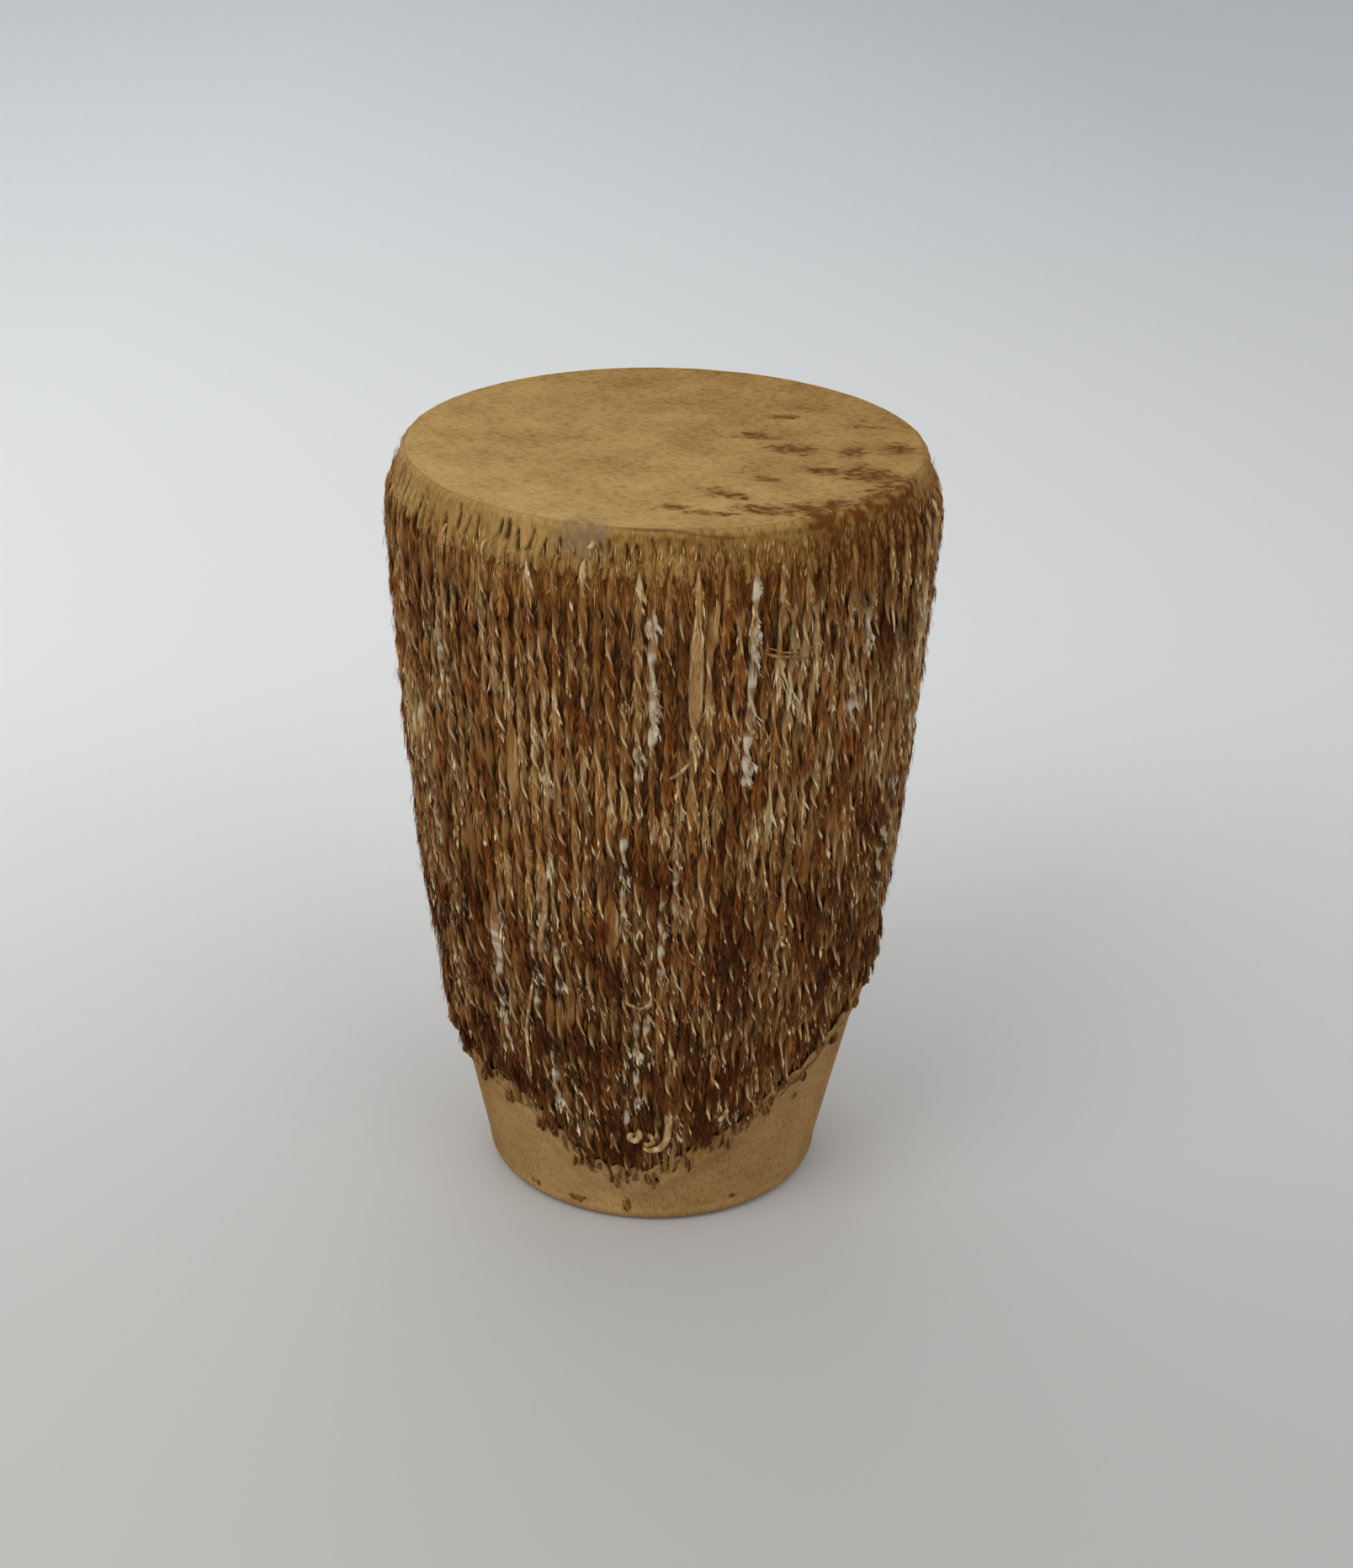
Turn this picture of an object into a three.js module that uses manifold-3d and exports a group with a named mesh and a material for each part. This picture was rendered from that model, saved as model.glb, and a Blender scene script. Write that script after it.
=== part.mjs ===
// A laced hide drum: a carved hollow log, a playing hide over its mouth, a second hide round its foot,
// and twisted thongs of the same hide that run up and down between the two and pull them tight.
// Millimetres, +Z up. The origin is the middle of the flat base, and -Y is the front.
import * as THREE from "three";
import { mergeVertices } from "three/addons/utils/BufferGeometryUtils.js";
import Module from "manifold-3d";

const wasm = await Module();
wasm.setup();

// Carved shell: outside radii and their heights above the base of the wood
const shellHeight = 388.8;
const footRadius = 85;
const ankleRadius = 104;
const ankleHeight = 92;
const waistRadius = 117;
const waistHeight = 177;
const bellyRadius = 129.3;
const bellyHeight = 330;
const mouthRadius = 126.5;
const wallThickness = 12;
const footCorner = 7;
const mouthCorner = 2.5;
const stepsPerSpan = 2;

// Hides
const hideThickness = 1.6;
const seatGap = 0.3;
const skirtDepth = 27;
const hemStandingLength = 14.5;
const hemFlareLength = 6;
const cornerSteps = 2;

// Upper edge of the base hide: its lowest and highest points above the floor, and how far up from one
// to the other it stands at each angle, counted from the front towards +X
const edgeLowest = 37;
const edgeHighest = 118;
const edgeRise = [
  [0, 0],
  [12, 0.17],
  [24, 0.31],
  [38, 0.56],
  [62, 0.91],
  [85, 1],
  [115, 0.77],
  [145, 0.36],
  [178, 0.11],
  [212, 0.26],
  [245, 0.53],
  [275, 0.63],
  [300, 0.51],
  [322, 0.41],
  [338, 0.1],
  [350, 0.01],
];

// Lacing: each thong makes four runs, two up and two down, and starts and ends at the base hide
const thongCount = 32;
const runsPerThong = 4;
const thongThickness = 3.4;
const runGap = 0.6;
const loopWidth = 3;
const loopThickness = 2;
const shellClearance = 0.5;
const hideClearance = 0.5;
const outerClearance = 0.4;
const slitSideClearance = 0.5;
const slitLength = 7;
const slitToEdge = 6.3;
const slitToLoop = 0.2;
const loopSteps = 3;
const crossingLength = 14;
const settlingLength = 34;
const crossingThickness = 2.2;
const endGap = 0.4;
const knotWidth = 3.2;
const knotThickness = 3;
const knotLength = 3;
const tailWidth = 2;
const tailThickness = 1.2;
const tailLength = 4;

const wood = new THREE.MeshStandardMaterial({ color: "#8a6a45", roughness: 0.8, metalness: 0 });
const headHide = new THREE.MeshStandardMaterial({ color: "#a98a55", roughness: 0.75, metalness: 0 });
const footHide = new THREE.MeshStandardMaterial({ color: "#8f7347", roughness: 0.75, metalness: 0 });
const thongHide = new THREE.MeshStandardMaterial({ color: "#6f4a2a", roughness: 0.85, metalness: 0 });

const fullTurn = 2 * Math.PI;
const woodBase = hideThickness + seatGap;
const woodTop = woodBase + shellHeight;
const headTop = woodTop + seatGap + hideThickness;
const runCount = thongCount * runsPerThong;
const runAngle = fullTurn / runCount;
const facets = runCount / 2;

// Outline of the wood: a straight cone up to the ankle and a smooth curve from there to the mouth

const footLean = Math.atan((ankleRadius - footRadius) / ankleHeight);
const footCentre = [footRadius - footCorner * Math.cos(footLean), woodBase + footCorner];
const mouthCentre = [mouthRadius - mouthCorner, woodTop - mouthCorner];
const upperSide = new THREE.SplineCurve([
  new THREE.Vector2(ankleRadius, woodBase + ankleHeight),
  new THREE.Vector2(waistRadius, woodBase + waistHeight),
  new THREE.Vector2(bellyRadius, woodBase + bellyHeight),
  new THREE.Vector2(mouthRadius, woodTop - mouthCorner),
]);
const stations = [
  new THREE.Vector2(footRadius, woodBase + footCorner * (1 - Math.sin(footLean))),
  ...upperSide.getPoints(stepsPerSpan * (upperSide.points.length - 1)),
];

// Outside radius of the wood at a height, along the straight facets between the stations
function woodRadius(height) {
  const above = stations.findIndex((station, i) => i > 0 && station.y >= height);
  const i = above < 0 ? stations.length - 1 : above;
  const t = (height - stations[i - 1].y) / (stations[i].y - stations[i - 1].y);
  return THREE.MathUtils.lerp(stations[i - 1].x, stations[i].x, t);
}

// Points along an arc round [radius, height], both ends included
function arc([centreRadius, centreHeight], radius, from, to) {
  return Array.from({ length: cornerSteps + 1 }, (_, i) => {
    const angle = THREE.MathUtils.lerp(from, to, i / cornerSteps);
    return [centreRadius + radius * Math.cos(angle), centreHeight + radius * Math.sin(angle)];
  });
}

// A body turned about Z from [radius, height] points, whose outline may change with the angle
function turned(outlineAt, firstCorner) {
  const points = outlineAt(firstCorner).map(([radius, height]) => new THREE.Vector2(radius, height));
  const geometry = new THREE.LatheGeometry(points, facets);
  const position = geometry.getAttribute("position");
  for (let i = 0; i <= facets; i++) {
    const angle = firstCorner + ((i % facets) / facets) * fullTurn;
    outlineAt(angle).forEach(([radius, height], j) => {
      const x = radius * Math.sin(angle);
      const y = -radius * Math.cos(angle);
      position.setXYZ(i * points.length + j, x, y, height);
    });
  }
  return geometry;
}

function shellGeometry() {
  const outside = stations.slice(1, -1).map(({ x, y }) => [x, y]);
  const inside = upperSide.points.slice(0, -1).map(({ x, y }) => [x - wallThickness, y]);
  const outline = [
    ...arc(footCentre, footCorner, -Math.PI / 2, -footLean),
    ...outside,
    ...arc(mouthCentre, mouthCorner, 0, Math.PI / 2),
    [mouthRadius - wallThickness, woodTop],
    ...inside.reverse(),
    [footRadius - wallThickness, woodBase],
  ];
  outline.push(outline[0]);
  return turned(() => outline, 0);
}

// Distances from the wood at a hem, where one half of every thong loop lies behind the hide

const behindHide = shellClearance + loopThickness / 2;
const hemStandOff = shellClearance + loopThickness + hideClearance;
const overHide = hemStandOff + hideThickness + outerClearance + loopThickness / 2;
const behindCrossing = shellClearance + crossingThickness / 2;
const onWood = shellClearance + thongThickness / 2;

// Cutting

function solidOf(geometry) {
  const bare = geometry.clone();
  bare.deleteAttribute("normal");
  bare.deleteAttribute("uv");
  const merged = mergeVertices(bare);
  const vertProperties = new Float32Array(merged.getAttribute("position").array);
  const triVerts = new Uint32Array(merged.index.array);
  return new wasm.Manifold(new wasm.Mesh({ numProp: 3, vertProperties, triVerts }));
}

function geometryOf(solid) {
  const mesh = solid.getMesh();
  const geometry = new THREE.BufferGeometry();
  geometry.setAttribute("position", new THREE.BufferAttribute(mesh.vertProperties, 3));
  geometry.setIndex(new THREE.BufferAttribute(mesh.triVerts, 1));
  geometry.computeVertexNormals();
  return geometry;
}

// A slit through a hem at an angle, starting where a thong turns and going the way that it bulges
function slit(angle, loopHeight, bulge) {
  const middle = loopHeight + bulge * (slitToLoop + slitLength / 2);
  const width = loopWidth + 2 * slitSideClearance;
  const box = new THREE.BoxGeometry(width, 2 * overHide, slitLength);
  box.translate(0, -(woodRadius(middle) + hemStandOff), middle);
  box.rotateZ(angle);
  return solidOf(box);
}

function cutAll(geometry, cutters) {
  return geometryOf(cutters.reduce((left, cutter) => left.subtract(cutter), solidOf(geometry)));
}

// Playing hide: a flat head, a rounded edge and a skirt whose hem stands off the wood

const skirtHem = headTop - skirtDepth;

function skirtSide(offset) {
  const standing = skirtHem + hemStandingLength;
  const flare = standing + hemFlareLength;
  return [
    [woodRadius(flare) + seatGap + offset, flare],
    [woodRadius(standing) + hemStandOff + offset, standing],
    [woodRadius(skirtHem) + hemStandOff + offset, skirtHem],
  ];
}

function playingHideGeometry() {
  const inner = mouthCorner + seatGap;
  const outline = [
    [0, headTop - hideThickness],
    ...arc(mouthCentre, inner, Math.PI / 2, 0),
    ...skirtSide(0),
    ...skirtSide(hideThickness).reverse(),
    ...arc(mouthCentre, inner + hideThickness, 0, Math.PI / 2),
    [0, headTop],
  ];
  return turned(() => outline, 0);
}

// Base hide: a flat base, a rounded corner and a wall that rises to the wavy edge

// Height of the base hide's edge at an angle from the front, as a smooth closed curve
function edgeHeight(angle) {
  const degrees = THREE.MathUtils.euclideanModulo(THREE.MathUtils.radToDeg(angle), 360);
  const count = edgeRise.length;
  const before = edgeRise.findLastIndex(([at]) => at <= degrees);
  const [p0, p1, p2, p3] = [-1, 0, 1, 2].map((step) => {
    const i = before + step;
    const [at, rise] = edgeRise[THREE.MathUtils.euclideanModulo(i, count)];
    const height = THREE.MathUtils.lerp(edgeLowest, edgeHighest, rise);
    return new THREE.Vector2(at + Math.floor(i / count) * 360, height);
  });
  const span = p2.x - p1.x;
  const t = (degrees - p1.x) / span;
  const slope1 = ((p2.y - p0.y) / (p2.x - p0.x)) * span;
  const slope2 = ((p3.y - p1.y) / (p3.x - p1.x)) * span;
  const fromFirst = (p1.y * (1 + 2 * t) + slope1 * t) * (1 - t) ** 2;
  const fromSecond = (p2.y * (3 - 2 * t) - slope2 * (1 - t)) * t ** 2;
  return fromFirst + fromSecond;
}

function baseSide(angle, offset) {
  const edge = edgeHeight(angle);
  const standing = edge - hemStandingLength;
  const flare = standing - hemFlareLength;
  return [
    [woodRadius(flare) + seatGap + offset, flare],
    [woodRadius(standing) + hemStandOff + offset, standing],
    [woodRadius(edge) + hemStandOff + offset, edge],
  ];
}

function baseHideGeometry() {
  const inner = footCorner + seatGap;
  return turned(
    (angle) => [
      [0, 0],
      ...arc(footCentre, inner + hideThickness, -Math.PI / 2, -footLean),
      ...baseSide(angle, hideThickness),
      ...baseSide(angle, 0).reverse(),
      ...arc(footCentre, inner, -footLean, -Math.PI / 2),
      [0, hideThickness],
    ],
    runAngle,
  );
}

// Thongs

// One place along a thong: its angle, how far its middle stands off the wood, its height and its section
function place(angle, standOff, height, width, thickness, ridge = 0) {
  const outward = new THREE.Vector3(Math.sin(angle), -Math.cos(angle), 0);
  const aside = new THREE.Vector3(Math.cos(angle), Math.sin(angle), 0);
  const middle = outward.clone().multiplyScalar(woodRadius(height) + standOff);
  middle.z = height;
  return { middle, outward, aside, width, thickness, ridge };
}

// Corners of the section, as shares of half its width and thickness: a flat back and a ridge
const ridgeOnFace = [
  [-1, -1],
  [1, -1],
  [0, 1],
];
const ridgeOnBack = [
  [0, -1],
  [1, 1],
  [-1, 1],
];

// A ridged strip through a list of places, closed at both ends. A place's ridge is 1 where the ridge
// points away from the wood, -1 where it points to the wood and 0 where it stays as it was.
function strip(places) {
  let section = ridgeOnFace;
  const corners = places.flatMap(({ middle, outward, aside, width, thickness, ridge }, i) => {
    const before = places[Math.max(i - 1, 0)].middle;
    const after = places[Math.min(i + 1, places.length - 1)].middle;
    const into = middle.clone().sub(before).normalize();
    const out = after.clone().sub(middle).normalize();
    const along = into.add(out).normalize();
    const side = aside.clone().addScaledVector(along, -aside.dot(along)).normalize();
    const face = new THREE.Vector3().crossVectors(along, side);
    if (ridge !== 0) section = ridge * face.dot(outward) > 0 ? ridgeOnFace : ridgeOnBack;
    return section.map(([u, v]) =>
      middle
        .clone()
        .addScaledVector(side, (u * width) / 2)
        .addScaledVector(face, (v * thickness) / 2),
    );
  });
  const sides = section.length;
  const last = (places.length - 1) * sides;
  const index = [0, 2, 1, last, last + 1, last + 2];
  for (let ring = 0; ring < last; ring += sides) {
    for (let i = 0; i < sides; i++) {
      const [a, b] = [ring + i, ring + ((i + 1) % sides)];
      index.push(a, b, b + sides, a, b + sides, a + sides);
    }
  }
  const geometry = new THREE.BufferGeometry().setFromPoints(corners);
  geometry.setIndex(index);
  geometry.computeVertexNormals();
  return geometry;
}

function runWidth(height) {
  return (woodRadius(height) + shellClearance) * runAngle - runGap;
}

function onRun(angle, height) {
  return place(angle, onWood, height, runWidth(height), thongThickness, 1);
}

// From a run towards a hem: it leaves its seat on the wood and lies over the hide or behind it
function lead(angle, edge, away, over) {
  const height = edge + away * crossingLength;
  const standOff = over ? overHide : behindCrossing;
  return [
    onRun(angle, edge + away * settlingLength),
    place(angle, standOff, height, runWidth(height), crossingThickness, over ? 1 : -1),
  ];
}

// The turn through a slit, from over the hide to behind it, bulging away from the hide's edge
function turnThrough(angle, height, bulge, width) {
  const middle = (behindHide + overHide) / 2;
  const radius = (overHide - behindHide) / 2;
  return Array.from({ length: loopSteps + 1 }, (_, i) => {
    const turn = (Math.PI * i) / loopSteps;
    const rise = bulge * radius * Math.sin(turn);
    return place(angle, middle + radius * Math.cos(turn), height + rise, width, loopThickness);
  });
}

const skirtLoopHeight = skirtHem + slitToEdge;

function baseLoopHeight(angle) {
  return edgeHeight(angle) - slitToEdge;
}

function skirtLoop(first, second) {
  return [
    ...lead(first, skirtHem, -1, true),
    ...turnThrough((first + second) / 2, skirtLoopHeight, 1, loopWidth),
    ...lead(second, skirtHem, -1, false).reverse(),
  ];
}

function baseLoop(first, second) {
  const middle = (first + second) / 2;
  const edge = edgeHeight(middle);
  return [
    ...lead(first, edge, 1, true),
    ...turnThrough(middle, baseLoopHeight(middle), -1, loopWidth),
    ...lead(second, edge, 1, false).reverse(),
  ];
}

// Two ends share a slit. Each comes out through it beside the other and is stopped by a knot with a
// short tail. The side is 1 where the slit lies past the end's run and -1 where it lies before it.
function knottedEnd(run, side) {
  const slitAt = run + (side * runAngle) / 2;
  const height = baseLoopHeight(slitAt);
  const radius = woodRadius(height) + overHide;
  const endWidth = (loopWidth - endGap) / 2;
  const endAt = slitAt - (side * (endWidth + endGap)) / 2 / radius;
  const knotAt = slitAt - (side * (knotWidth + endGap)) / 2 / radius;
  const outwardTurn = turnThrough(endAt, height, -1, endWidth).reverse();
  const throat = height - (overHide - behindHide) / 2 - loopThickness / 2;
  const knotTop = throat - loopThickness;
  const knotStandOff = overHide + (knotThickness - loopThickness) / 2;
  const tailEnd = knotTop - knotLength - tailLength;
  return [
    ...lead(run, edgeHeight(slitAt), 1, false),
    ...outwardTurn.slice(0, Math.ceil(outwardTurn.length / 2)),
    place(endAt, overHide, throat, endWidth, loopThickness),
    place(knotAt, knotStandOff, knotTop, knotWidth, knotThickness, 1),
    place(knotAt, knotStandOff, knotTop - knotLength, knotWidth, knotThickness, 1),
    place(knotAt, overHide, tailEnd, tailWidth, tailThickness, 1),
  ];
}

// Places on the wood's stations between the two settled ends of a run, from the base up
function climb(angle, edge) {
  const low = edge + settlingLength + thongThickness;
  const high = skirtHem - settlingLength - thongThickness;
  return stations.filter(({ y }) => y > low && y < high).map(({ y }) => onRun(angle, y));
}

// The thong goes up its even runs and down its odd ones. Each run shares its base slit with the run
// before it where it goes up, and with the run after it where it goes down.
function thongGeometry(firstRun) {
  const runs = Array.from({ length: runsPerThong }, (_, i) => (firstRun + i + 0.5) * runAngle);
  const places = knottedEnd(runs[0], -1).reverse();
  for (let i = 0; i < runsPerThong; i += 2) {
    const [up, down] = [runs[i], runs[i + 1]];
    places.push(...climb(up, edgeHeight(up - runAngle / 2)));
    places.push(...skirtLoop(up, down));
    places.push(...climb(down, edgeHeight(down + runAngle / 2)).reverse());
    if (i + 2 < runsPerThong) places.push(...baseLoop(down, runs[i + 2]));
  }
  places.push(...knottedEnd(runs.at(-1), 1));
  return strip(places);
}

// Slits: one at every turn through the skirt, and one at every turn or pair of ends at the base

const skirtSlits = [];
const baseSlits = [];
for (let pair = 0; pair < runCount; pair += 2) {
  const baseSlitAt = pair * runAngle;
  const skirtSlitAt = baseSlitAt + runAngle;
  baseSlits.push(slit(baseSlitAt, baseLoopHeight(baseSlitAt), -1));
  skirtSlits.push(slit(skirtSlitAt, skirtLoopHeight, 1));
}

// Assembly

const drum = new THREE.Group();

function add(name, geometry, material) {
  const mesh = new THREE.Mesh(geometry, material);
  mesh.name = name;
  drum.add(mesh);
}

add("shell", shellGeometry(), wood);
add("playing_hide", cutAll(playingHideGeometry(), skirtSlits), headHide);
add("base_hide", cutAll(baseHideGeometry(), baseSlits), footHide);
for (let thong = 0; thong < thongCount; thong++) {
  const number = String(thong + 1).padStart(2, "0");
  add(`lacing_thong_${number}`, thongGeometry(thong * runsPerThong), thongHide);
}

export default drum;
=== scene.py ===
"""Dresses the CAD model of a laced hide drum: hair-on hides, twisted hair-on thongs and their fur."""

import math

import bpy
import numpy as np
from bpy.props import FloatProperty, FloatVectorProperty, IntProperty, PointerProperty
from mathutils import Matrix, Vector, noise


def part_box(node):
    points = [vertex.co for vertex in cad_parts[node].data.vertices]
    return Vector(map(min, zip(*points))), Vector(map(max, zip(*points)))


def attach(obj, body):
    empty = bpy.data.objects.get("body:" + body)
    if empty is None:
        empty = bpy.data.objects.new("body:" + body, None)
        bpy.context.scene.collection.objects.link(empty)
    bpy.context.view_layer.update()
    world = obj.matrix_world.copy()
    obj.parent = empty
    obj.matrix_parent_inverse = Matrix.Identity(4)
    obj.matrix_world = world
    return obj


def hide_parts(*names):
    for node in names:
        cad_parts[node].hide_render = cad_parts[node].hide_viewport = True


bl_info = {
    "name": "Laced hide drum",
    "version": (1, 0, 0),
    "blender": (4, 5, 0),
    "location": "3D View > Sidebar > Drum",
    "description": "Dresses the CAD model of a laced hide drum with hides, twisted thongs and fur",
    "category": "Object",
}

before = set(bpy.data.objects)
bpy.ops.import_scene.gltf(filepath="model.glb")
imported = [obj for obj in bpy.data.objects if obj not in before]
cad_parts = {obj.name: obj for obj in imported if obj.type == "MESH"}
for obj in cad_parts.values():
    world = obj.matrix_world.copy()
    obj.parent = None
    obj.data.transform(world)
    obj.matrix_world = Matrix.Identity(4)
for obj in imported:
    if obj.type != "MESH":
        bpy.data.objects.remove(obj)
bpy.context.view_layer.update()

# The lacing in numbers that the CAD model gives: thongs of four runs each, evenly spaced round the drum
THONGS = sorted(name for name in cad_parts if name.startswith("lacing_thong_"))
RUNS_PER_THONG = 4
RUNS = RUNS_PER_THONG * len(THONGS)
RUN_ANGLE = 2 * math.pi / RUNS

# Thickness of the hides, and how far off the wood the hems and the thongs lie, in millimetres
HIDE_THICKNESS = 1.6
HEM_STAND_OFF = 3.0
ON_WOOD = 3.1
OVER_HIDE = 6.4
BEHIND_HIDE = 1.6

# Points round a hide, which are many more than the runs so that its slits and pleats show
ROUND = 1024
TURN = np.arange(ROUND) * 2 * math.pi / ROUND


def linear(code):
    """The linear colour of an sRGB hex code."""
    parts = [int(code[i : i + 2], 16) / 255 for i in (1, 3, 5)]
    return tuple(c / 12.92 if c <= 0.04045 else ((c + 0.055) / 1.055) ** 2.4 for c in parts)


def colour_setting(name, description, code):
    return FloatVectorProperty(
        name=name, description=description, default=linear(code), size=3, min=0, max=1, subtype="COLOR"
    )


def length_setting(name, description, millimetres):
    return FloatProperty(
        name=name,
        description=description,
        default=millimetres / 1000,
        min=0,
        precision=4,
        unit="LENGTH",
        subtype="DISTANCE",
    )


def count_setting(name, description, number):
    return FloatProperty(name=name, description=description, default=number, min=0)


# Measuring the CAD model, in millimetres. Angles are counted from the front (-Y) towards +X.


def node_points(name):
    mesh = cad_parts[name].data
    points = np.empty(len(mesh.vertices) * 3)
    mesh.vertices.foreach_get("co", points)
    return points.reshape(-1, 3) * 1000


def angle_of(points):
    return np.arctan2(points[:, 0], -points[:, 1])


def wood_outline():
    """Heights and outside radii of the shell's corners, from the foot to the mouth."""
    x, y, z = node_points("shell").T
    heights = np.unique(z.round(1))
    return heights, np.array([np.hypot(x, y)[abs(z - height) < 0.1].max() for height in heights])


def edge_outline():
    """Angles and heights of the base hide's upper edge, one for each facet of the hide."""
    points = node_points("base_hide")
    facets = RUNS // 2
    facet_angle = 2 * RUN_ANGLE
    facet = np.round(angle_of(points) % (2 * math.pi) / facet_angle - 0.5).astype(int) % facets
    heights = [points[facet == i, 2].max() for i in range(facets)]
    return (np.arange(facets) + 0.5) * facet_angle, np.array(heights)


WOOD_HEIGHTS, WOOD_RADII = wood_outline()
EDGE_ANGLES, EDGE_HEIGHTS = edge_outline()
HEAD_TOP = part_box("playing_hide")[1].z * 1000
SKIRT_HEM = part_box("playing_hide")[0].z * 1000


def wood_radius(height):
    return np.interp(height, WOOD_HEIGHTS, WOOD_RADII)


def edge_height(angle):
    return np.interp(angle, EDGE_ANGLES, EDGE_HEIGHTS, period=2 * math.pi)


def outward_at(angle):
    """Level directions away from the drum's axis."""
    return np.stack([np.sin(angle), -np.cos(angle), 0 * angle], axis=-1)


def around(angle, radius, height):
    """Points at angles, at distances from the drum's axis and at heights."""
    return np.stack([radius * np.sin(angle), -radius * np.cos(angle), height + 0 * radius], axis=-1)


def on_drum(angle, stand_off, height):
    """Points at angles and heights, at a distance from the wood."""
    return around(angle, wood_radius(height) + stand_off, height)


def degrees_from(middle, angle):
    """How many degrees angles lie from a middle one, from -180 to 180."""
    return (np.degrees(angle) - middle + 180) % 360 - 180


def near_turn(angle, middle, half_width):
    """1 within some degrees of an angle, falling to 0 at twice as many."""
    return 1 - smooth_step(half_width, 2 * half_width, abs(degrees_from(middle, angle)))


# Numbers that vary smoothly


def ripple(generator, at, step):
    """Smooth random numbers of about -1 to 1 at increasing places, that change over each step."""
    low = at.min()
    knots = generator.uniform(-1, 1, int((at.max() - low) / step) + 4)
    place = (at - low) / step
    whole = place.astype(int)
    share = place - whole
    eased = share * share * (3 - 2 * share)
    return knots[whole] * (1 - eased) + knots[whole + 1] * eased


def patches(points, size, seed):
    """Smooth noise of about -1 to 1 at points, in patches of a size in millimetres."""
    # Each seed moves the points to another part of the noise
    offset = Vector((seed * 7.3, seed * 3.1, seed * 5.7))
    return np.array([noise.noise(Vector(p) / size + offset) for p in points.tolist()])


def smooth_step(low, high, value):
    """From 0 at low to 1 at high, with a soft start and a soft end."""
    share = np.clip((value - low) / (high - low), 0, 1)
    return share * share * (3 - 2 * share)


# Building meshes


def piece(name, points, faces, material, values, bake_map=None):
    """A named piece of the drum from points in millimetres, with named numbers on its points or faces."""
    mesh = bpy.data.meshes.new(name)
    mesh.from_pydata(points / 1000, [], faces)
    mesh.polygons.foreach_set("use_smooth", np.ones(len(mesh.polygons), bool))
    for key, numbers in values.items():
        domain = "POINT" if len(numbers) == len(points) else "FACE"
        kind, field = ("FLOAT", "value") if numbers.ndim == 1 else ("FLOAT_VECTOR", "vector")
        layer = mesh.attributes.new(key, kind, domain)
        layer.data.foreach_set(field, numbers.astype(np.float32).ravel())
    if bake_map is not None:
        layer = mesh.uv_layers.new(name="OFBake")
        layer.uv.foreach_set("vector", bake_map.astype(np.float32).ravel())
    mesh.materials.append(material)
    body = bpy.data.objects.new(name, mesh)
    bpy.context.scene.collection.objects.link(body)
    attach(body, "root")
    return body


def grid_faces(rows, columns):
    """Four-sided faces between closed rows of points."""
    row, column = np.meshgrid(np.arange(rows - 1), np.arange(columns), indexing="ij")
    after = (column + 1) % columns
    here, above = row * columns, (row + 1) * columns
    corners = [here + column, here + after, above + after, above + column]
    return np.stack([c.ravel() for c in corners], axis=-1)


def stitch(inner_start, inner_count, outer_start, outer_count):
    """Triangles between two closed rings of different counts."""
    faces = []
    i = j = 0
    while i < inner_count or j < outer_count:
        a = inner_start + i % inner_count
        b = outer_start + j % outer_count
        if j >= outer_count or (i < inner_count and (i + 1) / inner_count <= (j + 1) / outer_count):
            faces.append((a, b, inner_start + (i + 1) % inner_count))
            i += 1
        else:
            faces.append((a, b, outer_start + (j + 1) % outer_count))
            j += 1
    return faces


def disc(radius, spacing, rim_count):
    """Angles and radii of a disc's points in rings, its triangles and the first point of its rim."""
    rings = max(2, round(radius / spacing))
    angles, radii, faces = [np.zeros(1)], [np.zeros(1)], []
    starts, counts = [0], [1]
    for ring in range(1, rings + 1):
        count = rim_count if ring == rings else 6 * ring
        starts.append(starts[-1] + counts[-1])
        counts.append(count)
        angles.append(np.arange(count) * 2 * math.pi / count)
        radii.append(np.full(count, radius * ring / rings))
        if ring == 1:
            faces += [(0, 1 + i, 1 + (i + 1) % count) for i in range(count)]
        else:
            faces += stitch(starts[-2], counts[-2], starts[-1], counts[-1])
    return np.concatenate(angles), np.concatenate(radii), faces, starts[-1]


# Materials. A node that mixes colours takes its share in input 0 and its colours in inputs 6 and 7.


def connect(tree, node, inputs):
    """Sets inputs of a node to values or colours, or links them to outputs, where a node stands for its
    first output in use."""
    for key, value in inputs.items():
        socket = node.inputs[key]
        if isinstance(value, bpy.types.Node):
            value = next(output for output in value.outputs if output.enabled)
        if isinstance(value, bpy.types.NodeSocket):
            tree.links.new(value, socket)
        elif socket.type == "RGBA":
            socket.default_value = (*value, 1)
        else:
            socket.default_value = value


def add(tree, kind, inputs=None, **settings):
    """A new node of a kind, with its settings and its inputs."""
    node = tree.nodes.new("ShaderNode" + kind)
    for key, value in settings.items():
        setattr(node, key, value)
    connect(tree, node, inputs or {})
    return node


def material(name, *numbers):
    """A new material, its node tree, its surface shader and the outputs of the mesh's named numbers."""
    made = bpy.data.materials.new(name)
    made.use_nodes = True
    tree = made.node_tree
    on_mesh = {number: add(tree, "Attribute", attribute_name=number).outputs["Fac"] for number in numbers}
    return made, tree, tree.nodes["Principled BSDF"], on_mesh


def streaks(tree, place, stretch, size_mm, detail=3.0):
    """Noise drawn out along one or more axes. The size is that of its grain, in millimetres."""
    drawn = add(tree, "Mapping", {"Vector": place, "Scale": stretch})
    return add(tree, "TexNoise", {"Vector": drawn, "Scale": 1000 / size_mm, "Detail": detail})


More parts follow.
